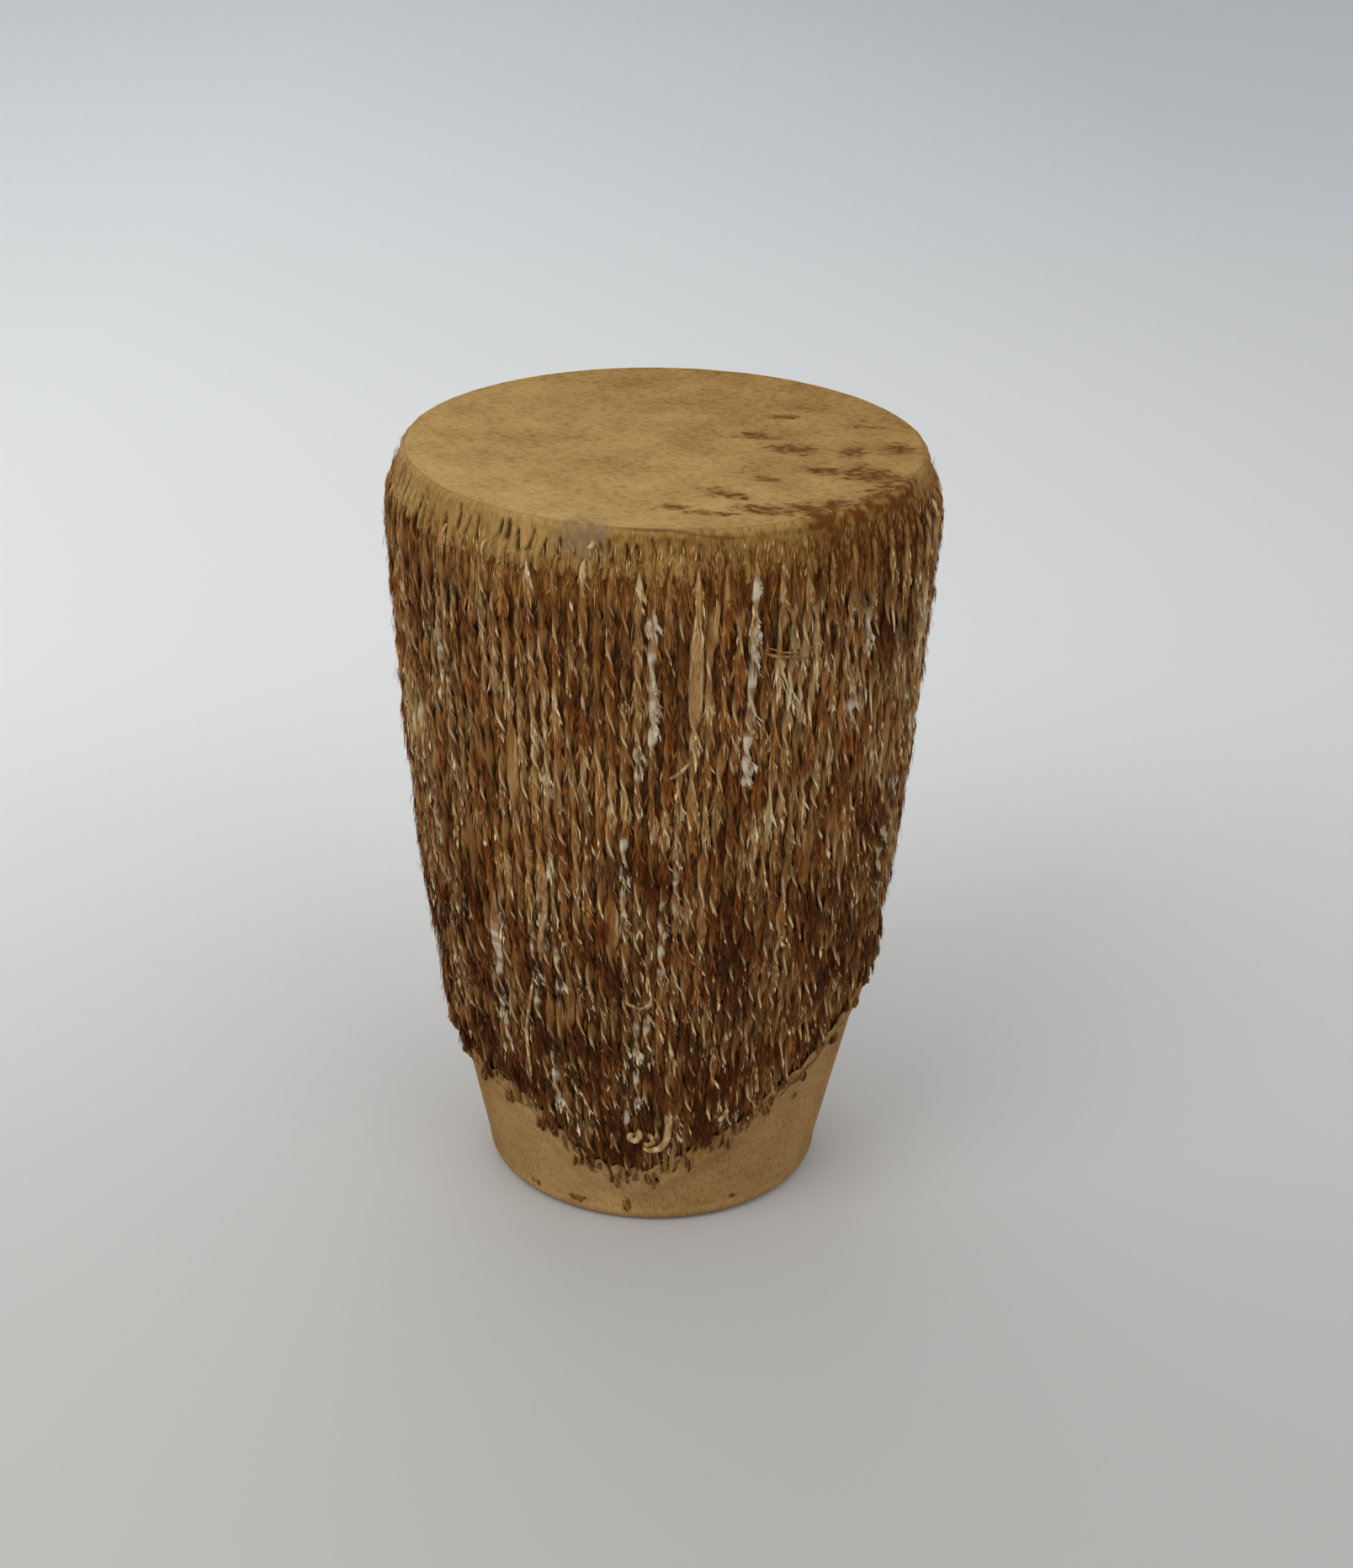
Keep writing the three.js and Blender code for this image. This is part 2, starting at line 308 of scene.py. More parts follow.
def hair_on_thong(colours):
    """Raw hide cut in strips with the hair on: brown fur on one face, brown flesh on the other and a
    pale cut edge, so that a twisted strip shows light strokes between tufts of brown."""
    numbers = ("shade", "warmth", "bare", "cut_edge", "pale")
    made, tree, shader, on_mesh = material("hair_on_rawhide_strip_twisted", *numbers)
    lay = add(tree, "Attribute", attribute_name="lay").outputs["Vector"]
    # Hairs lie along the strip, about half a millimetre wide so that they show
    hairs = streaks(tree, lay, (1, 0.09, 1), 0.45)
    cloud = streaks(tree, lay, (1, 0.3, 1), 3.0, 2.0)
    change = {"Value": hairs, "From Min": 0.3, "From Max": 0.7, "To Min": -0.22, "To Max": 0.22}
    fur = fur_colour(tree, on_mesh, add(tree, "MapRange", change), fur_stops(colours))
    both = add(tree, "Math", {0: cloud, 1: hairs}, operation="ADD")
    worn = add(tree, "MapRange", {"Value": both, "From Min": 0.8, "From Max": 1.2})
    flesh = add(tree, "Mix", {0: worn, 6: colours.flesh_dark, 7: colours.flesh_light}, data_type="RGBA")
    frayed = add(tree, "MapRange", {"Value": cloud, "From Min": 0.4, "From Max": 0.65})
    edge = add(tree, "Mix", {0: frayed, 6: colours.flesh_light, 7: colours.cut_edge}, data_type="RGBA")
    # White hair is painted lit and shaded from hair to hair
    lit = add(tree, "MapRange", {"Value": hairs, "From Min": 0.2, "From Max": 0.6})
    white = add(tree, "Mix", {0: lit, 6: colours.white_hair_shadow, 7: colours.white_hair}, data_type="RGBA")
    bare = add(tree, "Mix", {0: on_mesh["cut_edge"], 6: flesh, 7: edge}, data_type="RGBA")
    strip = add(tree, "Mix", {0: on_mesh["bare"], 6: fur, 7: bare}, data_type="RGBA")
    skin = add(tree, "Mix", {0: on_mesh["pale"], 6: strip, 7: white}, data_type="RGBA")
    relief = add(tree, "Bump", {"Height": hairs, "Distance": 0.00035, "Strength": 0.7})
    surface = {"Base Color": skin, "Roughness": 0.7, "IOR": 1.5, "Specular IOR Level": 0.1}
    connect(tree, shader, {**surface, "Normal": relief})
    return made


def coat_colours(colours, coat):
    """Colours of a coat from its darkest to its lightest hair."""
    return [getattr(colours, f"{coat}_{tone}") for tone in ("darkest", "dark", "mid", "tan", "cream")]


def fur_stops(colours):
    """Colours of the brown fur on the thongs: reddish ones, then drab ones."""
    return coat_colours(colours, "fur"), coat_colours(colours, "drab")


def skirt_stops(colours):
    """Colours of the hair on the playing hide's skirt: reddish ones, then drab ones."""
    red = coat_colours(colours, "hair")
    return red, [*red[:2], colours.head_dark, colours.head_light, red[-1]]


def fur_colour(tree, on_mesh, change, stops):
    """The colour of hairs from the mesh's shade, changed by a node, and from the mesh's warmth."""
    level = add(tree, "Math", {0: on_mesh["shade"], 1: change}, operation="ADD", use_clamp=True)
    ramps = []
    for colours in stops:
        ramp = add(tree, "ValToRGB", {"Fac": level})
        elements = ramp.color_ramp.elements
        while len(elements) < len(colours):
            elements.new(0.5)
        for element, position, colour in zip(elements, (0.0, 0.3, 0.55, 0.8, 1.0), colours):
            element.position = position
            element.color = (*colour, 1)
        ramps.append(ramp)
    red, drab = ramps
    return add(tree, "Mix", {0: on_mesh["warmth"], 6: drab, 7: red}, data_type="RGBA")


def loose_fur(name, stops, lacing):
    """Short coarse goat or cattle hair in tapered locks, darker at the root, with a faint sheen."""
    made, tree, shader, on_mesh = material(name, "shade", "warmth", "along", "pale")
    lift = add(tree, "MapRange", {"Value": on_mesh["along"], "To Min": -0.14, "To Max": 0.08})
    brown = fur_colour(tree, on_mesh, lift, stops)
    # White hair darkens to its painted shade towards the root
    white = {6: lacing.white_hair_shadow, 7: lacing.white_hair}
    pale = add(tree, "Mix", {0: on_mesh["along"], **white}, data_type="RGBA")
    hair = add(tree, "Mix", {0: on_mesh["pale"], 6: brown, 7: pale}, data_type="RGBA")
    connect(tree, shader, {"Base Color": hair, "Roughness": 0.7, "IOR": 1.55, "Specular IOR Level": 0.08})
    return made


def short_haired_hide(name, colours, grain):
    """Dried rawhide with its short hair on: a satin skin of fine hairs that all lie one way, mottled where
    they part, with brown marks in the coat, an ashen patch, painted shadow in its slits and creases, and
    painted light and shade in its tone."""
    light, dark, mark, ash, painted_shadow = colours
    made, tree, shader, on_mesh = material(name, "tone", "spot", "ash", "painted_shadow")
    lay = add(tree, "Attribute", attribute_name="lay").outputs["Vector"]
    # Hairs are some 0.1 mm thick, and drawn as wisps about 1 mm wide so that they show. Each row has how
    # far a pattern is drawn out, its size and detail, its lowest and highest value, and its weight.
    patterns = (
        (0.22, grain, 3.0, 0.3, 0.7, 0.42),
        (0.6, 3.4 * grain, 6.0, 0.34, 0.66, 0.3),
        (0.8, 28.0, 4.0, 0.35, 0.65, 0.22),
        (0.4, 1.5 * grain, 1.0, 0.66, 0.76, -0.35),
    )
    coat = -0.47
    parts = []
    for stretch, size, detail, lowest, highest, weight in patterns:
        hairs = streaks(tree, lay, (1, stretch, 1), size, detail)
        parts.append(add(tree, "MapRange", {"Value": hairs, "From Min": lowest, "From Max": highest}))
        coat = add(tree, "Math", {0: parts[-1], 1: weight, 2: coat}, operation="MULTIPLY_ADD")
    # The mesh's tone holds the coat's own lighter and darker parts, and painted light and shade
    level = add(tree, "Math", {0: coat, 1: on_mesh["tone"]}, operation="ADD", use_clamp=True)
    # The hair's own grain makes the brown marks ragged
    ragged = -0.95
    for part, weight in ((parts[0], 0.9), (parts[1], 1.0), (on_mesh["spot"], 1.0)):
        ragged = add(tree, "Math", {0: part, 1: weight, 2: ragged}, operation="MULTIPLY_ADD")
    marked = add(tree, "MapRange", {"Value": ragged, "From Min": 0.35, "From Max": 1.1})
    # Over the coat go the brown marks, the ashen patch and the painted shadow of slits and creases
    skin = dark
    for share, colour in ((level, light), (marked, mark), (on_mesh["ash"], ash), (on_mesh["painted_shadow"], painted_shadow)):
        skin = add(tree, "Mix", {0: share, 6: skin, 7: colour}, data_type="RGBA")
    relief = add(tree, "Bump", {"Height": coat, "Distance": 0.0004, "Strength": 0.5})
    surface = {"Base Color": skin, "Roughness": 0.85, "IOR": 1.5, "Specular IOR Level": 0.06}
    connect(tree, shader, {**surface, "Normal": relief})
    return made


def carved_wood(colours):
    """Carved hardwood, dry and darkened by handling: narrow grain along the log and soft tool facets."""
    made, tree, shader, _ = material("adze_carved_hardwood")
    place = add(tree, "TexCoord").outputs["Object"]
    grain = streaks(tree, place, (1, 1, 0.06), 1.6, 5.0)
    rings = streaks(tree, place, (1, 1, 0.15), 14.0, 2.0)
    both = add(tree, "Math", {0: grain, 1: rings}, operation="MULTIPLY")
    share = add(tree, "MapRange", {"Value": both, "From Min": 0.12, "From Max": 0.4})
    colour = add(tree, "Mix", {0: share, 6: colours.wood_dark, 7: colours.wood_light}, data_type="RGBA")
    relief = add(tree, "Bump", {"Height": grain, "Distance": 0.0003, "Strength": 0.5})
    connect(tree, shader, {"Base Color": colour, "Roughness": 0.75, "IOR": 1.5, "Normal": relief})
    return made


# Hides

# The head's flat part and how far it lies below the top of the CAD head, and the rounded edge round it
HEAD_FLAT_RADIUS = 123.4
HEAD_SINK = 0.45
EDGE_RADIUS = 128.3
EDGE_DROP = 4.4

# The ashen patch at the front edge: its middle, and how far it reaches along each axis
ASH_PLACE = (-35, -120, 386)
ASH_REACH = (14, 13, 10)

# Radii for what is laid out flat: the coat of the skirt, that of the foot's wall and the foot's marks
SKIRT_RADIUS = 130
WALL_RADIUS = 95
FOOT_RADIUS = 90

HEAD_SPOTS = [
    # Middle of each brown mark on the head, its half length and half width, and its turn, in mm and degrees
    (45, 12, 12, 6, -12),
    (60, -8, 15, 8, -14),
    (102, 30, 8, 3, -8),
    (91, -10, 7, 9, -30),
    (76, -40, 14, 6, -6),
    (97, -45, 17, 12, -22),
    (30, -77, 14, 7, -28),
    (4, -96, 8, 5, 0),
    (20, -103, 14, 4, -6),
    (46, -97, 17, 8, -8),
    (68, -95, 16, 9, -5),
    (80, -88, 13, 9, 10),
    (104, -76, 15, 20, 0),
    (60, 44, 9, 4, -12),
    (112, -4, 7, 10, 0),
    (48, -54, 7, 4, -20),
]


FOOT_MARKS = [
    # Middle of each small mark on the base hide as angle and height, and its half width and half height
    (-43, 9.5, 4.0, 1.8),
    (-26, 9.5, 5.5, 2.4),
    (-8, 11, 3.0, 5.0),
    (29, 11.5, 3, 2),
    (-64, 54, 1.2, 1.4),
    (46.5, 67, 2.4, 2.6),
    (132, 18, 5, 3),
    (205, 30, 3, 5),
    (243, 12, 4, 2),
]


def head_spots(points):
    """How brown the coat of the head is at points, from its marks."""
    amount = np.zeros(len(points))
    wobble = patches(points * (0.6, 1, 1), 5.0, 1) + 0.6 * patches(points * (0.5, 1, 1), 2.4, 2)
    for x, y, long, wide, degrees in HEAD_SPOTS:
        turn = math.radians(degrees)
        dx, dy = points[:, 0] - x, points[:, 1] - y
        u = (math.cos(turn) * dx + math.sin(turn) * dy) / long
        v = (math.cos(turn) * dy - math.sin(turn) * dx) / wide
        amount = np.maximum(amount, 1 - smooth_step(0.3, 1.6, np.hypot(u, v) + 0.5 * wobble))
    return amount


def foot_marks(points, angle):
    """How brown the coat of the foot is at points, from its marks."""
    amount = np.zeros(len(points))
    wobble = 0.4 * patches(points, 2.5, 8)
    for middle, height, wide, tall in FOOT_MARKS:
        across = np.radians(degrees_from(middle, angle)) * FOOT_RADIUS / wide
        distance = np.hypot(across, (points[:, 2] - height) / tall) + wobble
        amount = np.maximum(amount, 1 - smooth_step(0.6, 1.3, distance))
    return amount


def skirt_darkness(angle, height):
    """How far the skirt's coat turns to dark brown hair: most at the right of the front."""
    apart = degrees_from(0, angle)
    right = 0.12 * smooth_step(2, 14, apart) + 0.65 * smooth_step(24, 40, apart)
    right *= 1 - smooth_step(66, 84, apart)
    lower = smooth_step(387, 369, height + 4 * near_turn(angle, -35, 30))
    some = 0.3 * near_turn(angle, 4, 16) + 0.3 * near_turn(angle, 150, 30) + 0.25 * near_turn(angle, 255, 14)
    return np.clip(right * (0.75 + 0.25 * lower) + (0.62 + some) * lower, 0, 1)


def run_and_share(angle):
    """The run of lacing at angles, and how far across its room the angles are, from 0 to 1."""
    place = angle / RUN_ANGLE
    run = np.floor(place)
    return run.astype(int) % RUNS, place - run


def slit_pattern(generator, angle, height, top, length):
    """Gashes of a run's spacing in a hem: how deep each point lies in one, from 0 to 1."""
    run, share = run_and_share(angle)
    shift = generator.uniform(-0.22, 0.22, RUNS)[run]
    tops = top + generator.uniform(-4.0, 3.0, RUNS)[run]
    half_length = length * generator.uniform(0.5, 1.1, RUNS)[run] / 2
    lean = generator.uniform(-0.3, 0.2, RUNS)[run]
    half_width = generator.uniform(0.65, 1.35, RUNS)[run]
    depth = generator.uniform(0.7, 1.0, RUNS)[run] * (generator.random(RUNS) < 0.92)[run]
    above = height - (tops - half_length)
    along = above / half_length
    # A slit is narrower at its upper end
    aside = (share - 0.5 - shift) * RUN_ANGLE * wood_radius(height) - lean * above
    across = abs(aside) / (half_width * (1 - 0.35 * along))
    return depth * (1 - smooth_step(0.4, 1.3, across)) * (1 - smooth_step(0.6, 1.1, abs(along)))


def hem_pleats(generator, angle):
    """Ridges between runs, from 0 in a valley to 1 on a ridge."""
    run, share = run_and_share(angle)
    size = generator.uniform(0.45, 1.0, RUNS + 1)
    here = size[run] * (1 - share) + size[(run + 1) % RUNS] * share
    return here * abs(2 * share - 1) ** 0.8


def hem_tongues(start):
    """Rounded tongues of a hem, one for each two runs: 0 between tongues and 1 on them."""
    return (0.5 + 0.5 * np.cos((TURN / RUN_ANGLE - start) * math.pi)) ** 0.7


def wavy_round(waves, seed):
    """Smooth numbers of about -1 to 1 round a rim."""
    return np.array([noise.noise(Vector((waves * math.sin(a), waves * math.cos(a), seed))) for a in TURN])


def wall_rows(rows, round_share):
    """Angles of a wall's points, how far each is round the corner, from 0 to a quarter turn, and how far
    each is from the corner to the hem, from 0 to 1."""
    share = np.repeat(np.linspace(0, 1, rows), ROUND)
    bend = np.clip(share / round_share, 0, 1) * math.pi / 2
    beyond = np.clip((share - round_share) / (1 - round_share), 0, 1)
    return np.tile(TURN, rows), bend, beyond


def cup(flat, faces, rim, wall, inside):
    """Points and faces of a disc, its wall and the wall's rolled hem, which only the thongs see. Inside
    tells which way the hide goes on behind its hem: 1 for up or -1 for down."""
    hem = [
        wall[-ROUND:] + outward_at(TURN) * -inward + (0, 0, rise)
        for inward, rise in ((0.8, 0.1), (1.6, inside), (1.7, 8.0 * inside))
    ]
    points = np.concatenate([flat, wall[ROUND:], *hem])
    sides = grid_faces(len(wall) // ROUND + len(hem), ROUND) + len(flat) - ROUND
    # The wall's first row is the disc's rim
    sides = np.where(sides < len(flat), sides - len(flat) + ROUND + rim, sides)
    return points, faces + sides[:, ::-1].tolist()


def on_hide(flat, on_wall, inside):
    """Numbers of a wall's points as numbers of a cup's: 0 on the disc and at the cut, one value inside."""
    return np.concatenate([np.zeros(len(flat)), on_wall[ROUND:], np.zeros(ROUND), np.full(2 * ROUND, inside)])


class DRUM_PG_hides(bpy.types.PropertyGroup):
    head_light: colour_setting("Head, light", "Light hairs of the playing hide", "#C4A468")
    head_dark: colour_setting("Head, dark", "Darker hairs of the playing hide", "#7A5626")
    spots: colour_setting("Spots", "Brown marks in the coat", "#613811")
    ash: colour_setting("Ashen patch", "Worn grey patch at the front edge", "#7C684B")
    foot_light: colour_setting("Foot, light", "Light hairs of the base hide", "#B39260")
    foot_dark: colour_setting("Foot, dark", "Darker hairs of the base hide", "#70481A")
    foot_mark: colour_setting("Foot marks", "Small marks in the base hide", "#623D16")
    # Painted shadow: a dark colour drawn in the slits, in the crease at the head's rim and on the rolled hem
    painted_shadow: colour_setting("Slits", "Shadow inside the slits", "#2A1606")
    hair_darkest: colour_setting("Skirt hair, darkest", "Roots of the skirt's hair", "#2C1304")
    hair_dark: colour_setting("Skirt hair, dark", "Dark hair on the skirt", "#57300F")
    hair_mid: colour_setting("Skirt hair, middle", "Brown hair on the skirt", "#835022")
    hair_tan: colour_setting("Skirt hair, tan", "Tan hair on the skirt", "#A87C44")
    hair_cream: colour_setting("Skirt hair, cream", "Lightest hair on the skirt", "#CBAE74")
    pleat_depth: length_setting("Pleat depth", "How deep the skirt is gathered between runs", 2.2)
    hem_wave: length_setting("Hem wave", "How far the hem's tongues hang down", 4.0)
    seed: IntProperty(name="Seed", description="Number that the chance shapes start from", default=11)


class DRUM_OT_playing_hide(bpy.types.Operator):
    """Makes the playing hide: a tight head, a rounded edge and a gathered skirt with slits"""

    bl_idname = "drum.playing_hide"
    bl_label = "Playing hide"

    def execute(self, context):
        hides = context.scene.drum_hides
        generator = np.random.default_rng(hides.seed)
        angle, radius, faces, rim = disc(HEAD_FLAT_RADIUS, 1.6, ROUND)
        flat = around(angle, radius, 0)
        dip = 0.35 * patches(flat, 60, 2) + 0.12 * patches(flat, 14, 3)
        dip *= smooth_step(HEAD_FLAT_RADIUS, HEAD_FLAT_RADIUS - 8, radius)
        flat[:, 2] = HEAD_TOP - HEAD_SINK + dip

        rows = 46
        angle, bend, down = wall_rows(rows, 0.2)
        hem = SKIRT_HEM + 4.6 - hides.hem_wave * 1000 * (hem_tongues(1.5) - 0.35)
        hem += 1.3 * ripple(generator, TURN, RUN_ANGLE * 1.3)
        # The skirt is a little shorter at one side than at the other
        hem += 1.5 * np.cos(TURN - math.radians(250))
        start = HEAD_TOP - EDGE_DROP
        height = start + EDGE_DROP * np.cos(bend) + (np.tile(hem, rows) - start) * down
        edge_radius = EDGE_RADIUS + np.tile(1.1 * wavy_round(3, 5) + 0.5 * wavy_round(14, 9), rows)
        stand = wood_radius(height) + HEM_STAND_OFF + HIDE_THICKNESS
        flare = smooth_step(start + 1, start - 12, height)
        radius = HEAD_FLAT_RADIUS + (edge_radius - HEAD_FLAT_RADIUS) * np.sin(bend)
        radius = np.where(bend < math.pi / 2, radius, edge_radius * (1 - flare) + stand * flare)
        gather = smooth_step(HEAD_TOP - 6, SKIRT_HEM + 4, height)
        ridge = hem_pleats(generator, angle)
        cut = slit_pattern(generator, angle, height, HEAD_TOP - 4.5, 17.0)
        cut *= 1 - 0.6 * near_turn(angle, 52, 20) - 0.4 * near_turn(angle, 16, 12)
        radius += hides.pleat_depth * 1000 * gather * (ridge - 0.5) - 1.6 * cut
        skirt = around(angle, radius, height)
        skirt += 0.25 * patches(skirt, 6, 4)[:, None] * outward_at(angle)

        points, faces = cup(flat, faces, rim, skirt, 1)
        # The pleats' ridges get painted light and their valleys painted shade, and the slits and the rolled
        # hem get painted shadow
        values = head_coat(points, on_hide(flat, gather * (ridge - 0.4), 0.0), on_hide(flat, cut, 0.7))
        colours = (hides.head_light, hides.head_dark, hides.spots, hides.ash, hides.painted_shadow)
        coat = short_haired_hide("short_haired_rawhide_head", colours, 1.0)
        made = piece("drum_head_hide", points, faces, coat, values)
        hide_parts("playing_hide")
        return {"FINISHED"}


def head_coat(points, pleat_light_and_shade, painted_shadow):
    """Numbers of the playing hide's coat: its marks, the painted shadow of its slits and crease, its tone
    with painted light and shade, and the way that its hair lies.
    """
    x, y, height = points.T
    angle, radius = angle_of(points), np.hypot(x, y)
    on_head = radius < HEAD_FLAT_RADIUS + 2
    # Brown hair on the skirt, most of it in clumps and at the right of the front, with painted shade that
    # darkens the pleats' valleys
    dark = skirt_darkness(angle, height) * smooth_step(HEAD_TOP - 0.8, HEAD_TOP - EDGE_DROP - 0.1, height)
    dark = np.maximum(dark, 0.8 * smooth_step(SKIRT_HEM + 14, SKIRT_HEM + 2, height))
    clump = 0.5 + 0.9 * patches(points * (1, 1, 0.35), 5.0, 6)
    valley = 1 - abs(2 * ((angle / RUN_ANGLE) % 1) - 1)
    spot = np.maximum(head_spots(points) * on_head, dark * (0.4 + 0.45 * clump + 0.35 * valley))
    reach = radius + 7 * patches(points * (1, 1, 0), 9, 14)
    right = near_turn(angle, 49, 13) * smooth_step(112, 124, reach)
    spot = np.maximum(spot, right * (0.95 + 1.1 * patches(points, 4, 15)))
    # Painted light: the head is lighter towards the left and the front, and the skirt towards the left, where
    # more light falls
    left, front = -x / SKIRT_RADIUS, -y / SKIRT_RADIUS
    tone = np.where(on_head, 0.4 + 0.1 * left + 0.12 * front, 0.26 + 0.04 * left)
    tone -= 0.12 * near_turn(angle, 14, 22) * smooth_step(HEAD_TOP - 1, HEAD_TOP - 5, height)
    # Painted light on the pleats' ridges and painted shade in their valleys, over a tone that varies at
    # random
    tone += 0.1 * patches(points, 30, 12) + 0.45 * pleat_light_and_shade
    blotch = np.linalg.norm((points - ASH_PLACE) / ASH_REACH, axis=1) + 0.4 * patches(points, 7, 13)
    ash = 0.8 * (1 - smooth_step(0.6, 1.25, blotch)) * (0.9 + 1.1 * patches(points * (1, 1, 0.5), 3, 16))
    # A fine crease runs along the front of the rim and falls to the right, drawn as painted shadow
    crease = abs(height - (HEAD_TOP - 0.9 - 3.6 * smooth_step(0, 17, np.degrees(angle))))
    at_rim = smooth_step(HEAD_FLAT_RADIUS, HEAD_FLAT_RADIUS + 1, radius)
    painted_shadow = np.maximum(painted_shadow, 0.5 * (1 - smooth_step(0.2, 0.7, crease)) * near_turn(angle, 4, 8) * at_rim)
    # Hairs lie across the head and down the skirt
    across = np.stack([y + 0.25 * x, x - 0.25 * y, 0 * height], axis=-1)
    down = np.stack([angle * SKIRT_RADIUS, height, 0 * height], axis=-1)
    lay = np.where(on_head[:, None], across, down) / 1000
    return {"spot": spot, "painted_shadow": np.clip(painted_shadow, 0, 1), "lay": lay, "tone": tone, "ash": ash}


class DRUM_OT_base_hide(bpy.types.Operator):
    """Makes the base hide: a flat base, a rounded corner and a wall with a slit, gathered edge"""

    bl_idname = "drum.base_hide"
    bl_label = "Base hide"

    def execute(self, context):
        hides = context.scene.drum_hides
        generator = np.random.default_rng(hides.seed + 1)
        # The flat part, the corner round it and the wall's gap from the wood, in millimetres
        flat_radius, corner, gap = 79.5, 7.5, 0.3
        angle, radius, faces, rim = disc(flat_radius, 5.0, ROUND)
        flat = around(angle, radius, 0)

        rows = 64
        angle, bend, rise = wall_rows(rows, 0.12)
        hem = edge_height(TURN) + 1.2 + 2.2 * (hem_tongues(0.5) - 0.5)
        hem += ripple(generator, TURN, RUN_ANGLE * 1.3)
        height = corner * (1 - np.cos(bend)) + (np.tile(hem, rows) - corner) * rise
        edge = np.tile(edge_height(TURN), rows)
        # The wall lies close to the wood, and stands off it near its edge, where thongs pass behind
        stand_off = gap + (HEM_STAND_OFF - gap) * smooth_step(edge - 24, edge - 10, height)
        # The wood's own corner is rounded below this height, which the hide doesn't follow
        straight_from = 9
        wall = wood_radius(np.maximum(height, straight_from)) + HIDE_THICKNESS + stand_off
        side = wood_radius(corner + 2) + HIDE_THICKNESS + gap
        radius = np.where(bend < math.pi / 2, flat_radius + (side - flat_radius) * np.sin(bend), wall)
        gather = smooth_step(edge - 17, edge - 2, height)
        ridge = hem_pleats(generator, angle)
        # A smooth flap of hide stands out at the right of the front
        flap = near_turn(angle, 52, 9)
        cut = slit_pattern(generator, angle, height - edge, 1.0, 9.0)
        cut *= (1 - flap) * (0.5 + 0.5 * near_turn(angle, -15, 40))
        radius += 1.4 * gather * (ridge - 0.5) * (1 - flap) - 1.3 * cut
        radius += 1.2 * flap * smooth_step(edge - 12, edge, height)
        wall = around(angle, radius, height)
        uneven = 0.3 * patches(wall, 22, 4) * smooth_step(6, 14, height)
        wall += uneven[:, None] * outward_at(angle)

        points, faces = cup(flat, faces, rim, wall, -1)
        faces = [face[::-1] for face in faces]
        colours = (hides.foot_light, hides.foot_dark, hides.foot_mark, hides.ash, hides.painted_shadow)
        coat = short_haired_hide("short_haired_rawhide_foot", colours, 0.8)
        # The slits and the rolled hem get painted shadow
        values = foot_coat(points, on_hide(flat, cut, 0.6))
        made = piece("drum_foot_hide", points, faces, coat, values)
        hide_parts("base_hide")
        return {"FINISHED"}


def foot_coat(points, painted_shadow):
    """Numbers of the base hide's coat: its marks, the painted shadow of its slits, its tone with painted
    light and shade, and the way that its hair lies.
    """
    angle, height = angle_of(points), points[:, 2]
    tuft = 0.5 + 0.9 * patches(points * (1, 1, 0.35), 4.0, 6)
    near_edge = 0.6 * smooth_step(14, 0, edge_height(angle) - height) * tuft
    # Painted light and shade: the foot is lighter at the front left and darker further to the left
    tone = 0.52 + 0.14 * near_turn(angle, -28, 22) - 0.06 * near_turn(angle, -75, 25)
    lay = np.stack([angle * WALL_RADIUS, height, 0 * height], axis=-1)
    return {
        "spot": np.maximum(foot_marks(points, angle), near_edge),
        "painted_shadow": np.clip(painted_shadow, 0, 1),
        "lay": lay / 1000,
        "tone": tone + 0.12 * patches(points * (1, 1, 0.5), 26, 12),
        "ash": np.zeros(len(points)),
    }


class DRUM_PG_lacing(bpy.types.PropertyGroup):
    strip_width: length_setting("Strip width", "Width of a hide strip before it is twisted", 3.6)
    strip_thickness: length_setting("Strip thickness", "Thickness of a strip with its flattened hair", 2.1)
    half_twist: length_setting("Half twist", "Length of strip in which it turns over once", 15.5)
    wander: length_setting("Wander", "How far a run strays to its sides", 1.2)
    lock_length: length_setting("Lock length", "Length of a flat lock of fur", 9.8)
    hair_length: length_setting("Hair length", "Length of a stray hair", 8.0)
    locks_per_cm: count_setting("Locks per cm", "Flat locks of fur on each centimetre of strip", 34)
    hairs_per_cm: count_setting("Hairs per cm", "Stray hairs on each centimetre of strip", 28)
    under_fur: count_setting("Under fur", "Tufts on each square centimetre between the runs", 30)
    fur_darkest: colour_setting("Fur, darkest", "Roots and shaded hair", "#3F1D06")
    fur_dark: colour_setting("Fur, dark", "Dark brown hair", "#64340F")
    fur_mid: colour_setting("Fur, middle", "Reddish brown hair", "#874E1E")
    fur_tan: colour_setting("Fur, tan", "Tan hair", "#B07C42")
    fur_cream: colour_setting("Fur, cream", "Lightest hair tips", "#E2C695")
    drab_darkest: colour_setting("Drab fur, darkest", "Roots of drab hair", "#35220D")
    drab_dark: colour_setting("Drab fur, dark", "Dark drab hair", "#4F3A1F")
    drab_mid: colour_setting("Drab fur, middle", "Drab brown hair", "#776038")
    drab_tan: colour_setting("Drab fur, tan", "Drab tan hair", "#9C8455")
    drab_cream: colour_setting("Drab fur, cream", "Pale drab hair tips", "#DCCDA8")
    flesh_dark: colour_setting("Flesh side, dark", "Bare side of a strip", "#683D18")
    flesh_light: colour_setting("Flesh side, light", "Bare side of a strip", "#9E713C")
    cut_edge: colour_setting("Cut edge", "Pale edge of a cut strip", "#E3CFA0")
    white_hair: colour_setting("White hair", "Tips of white hair", "#DDD3BA")
    # Painted shade of the white hair: at the roots of the loose tufts, and on the shaded hairs between lit
    # ones on the strips
    white_hair_shadow: colour_setting("White hair, roots", "Roots of white hair", "#917F61")
    seed: IntProperty(name="Seed", description="Number that the chance shapes start from", default=5)


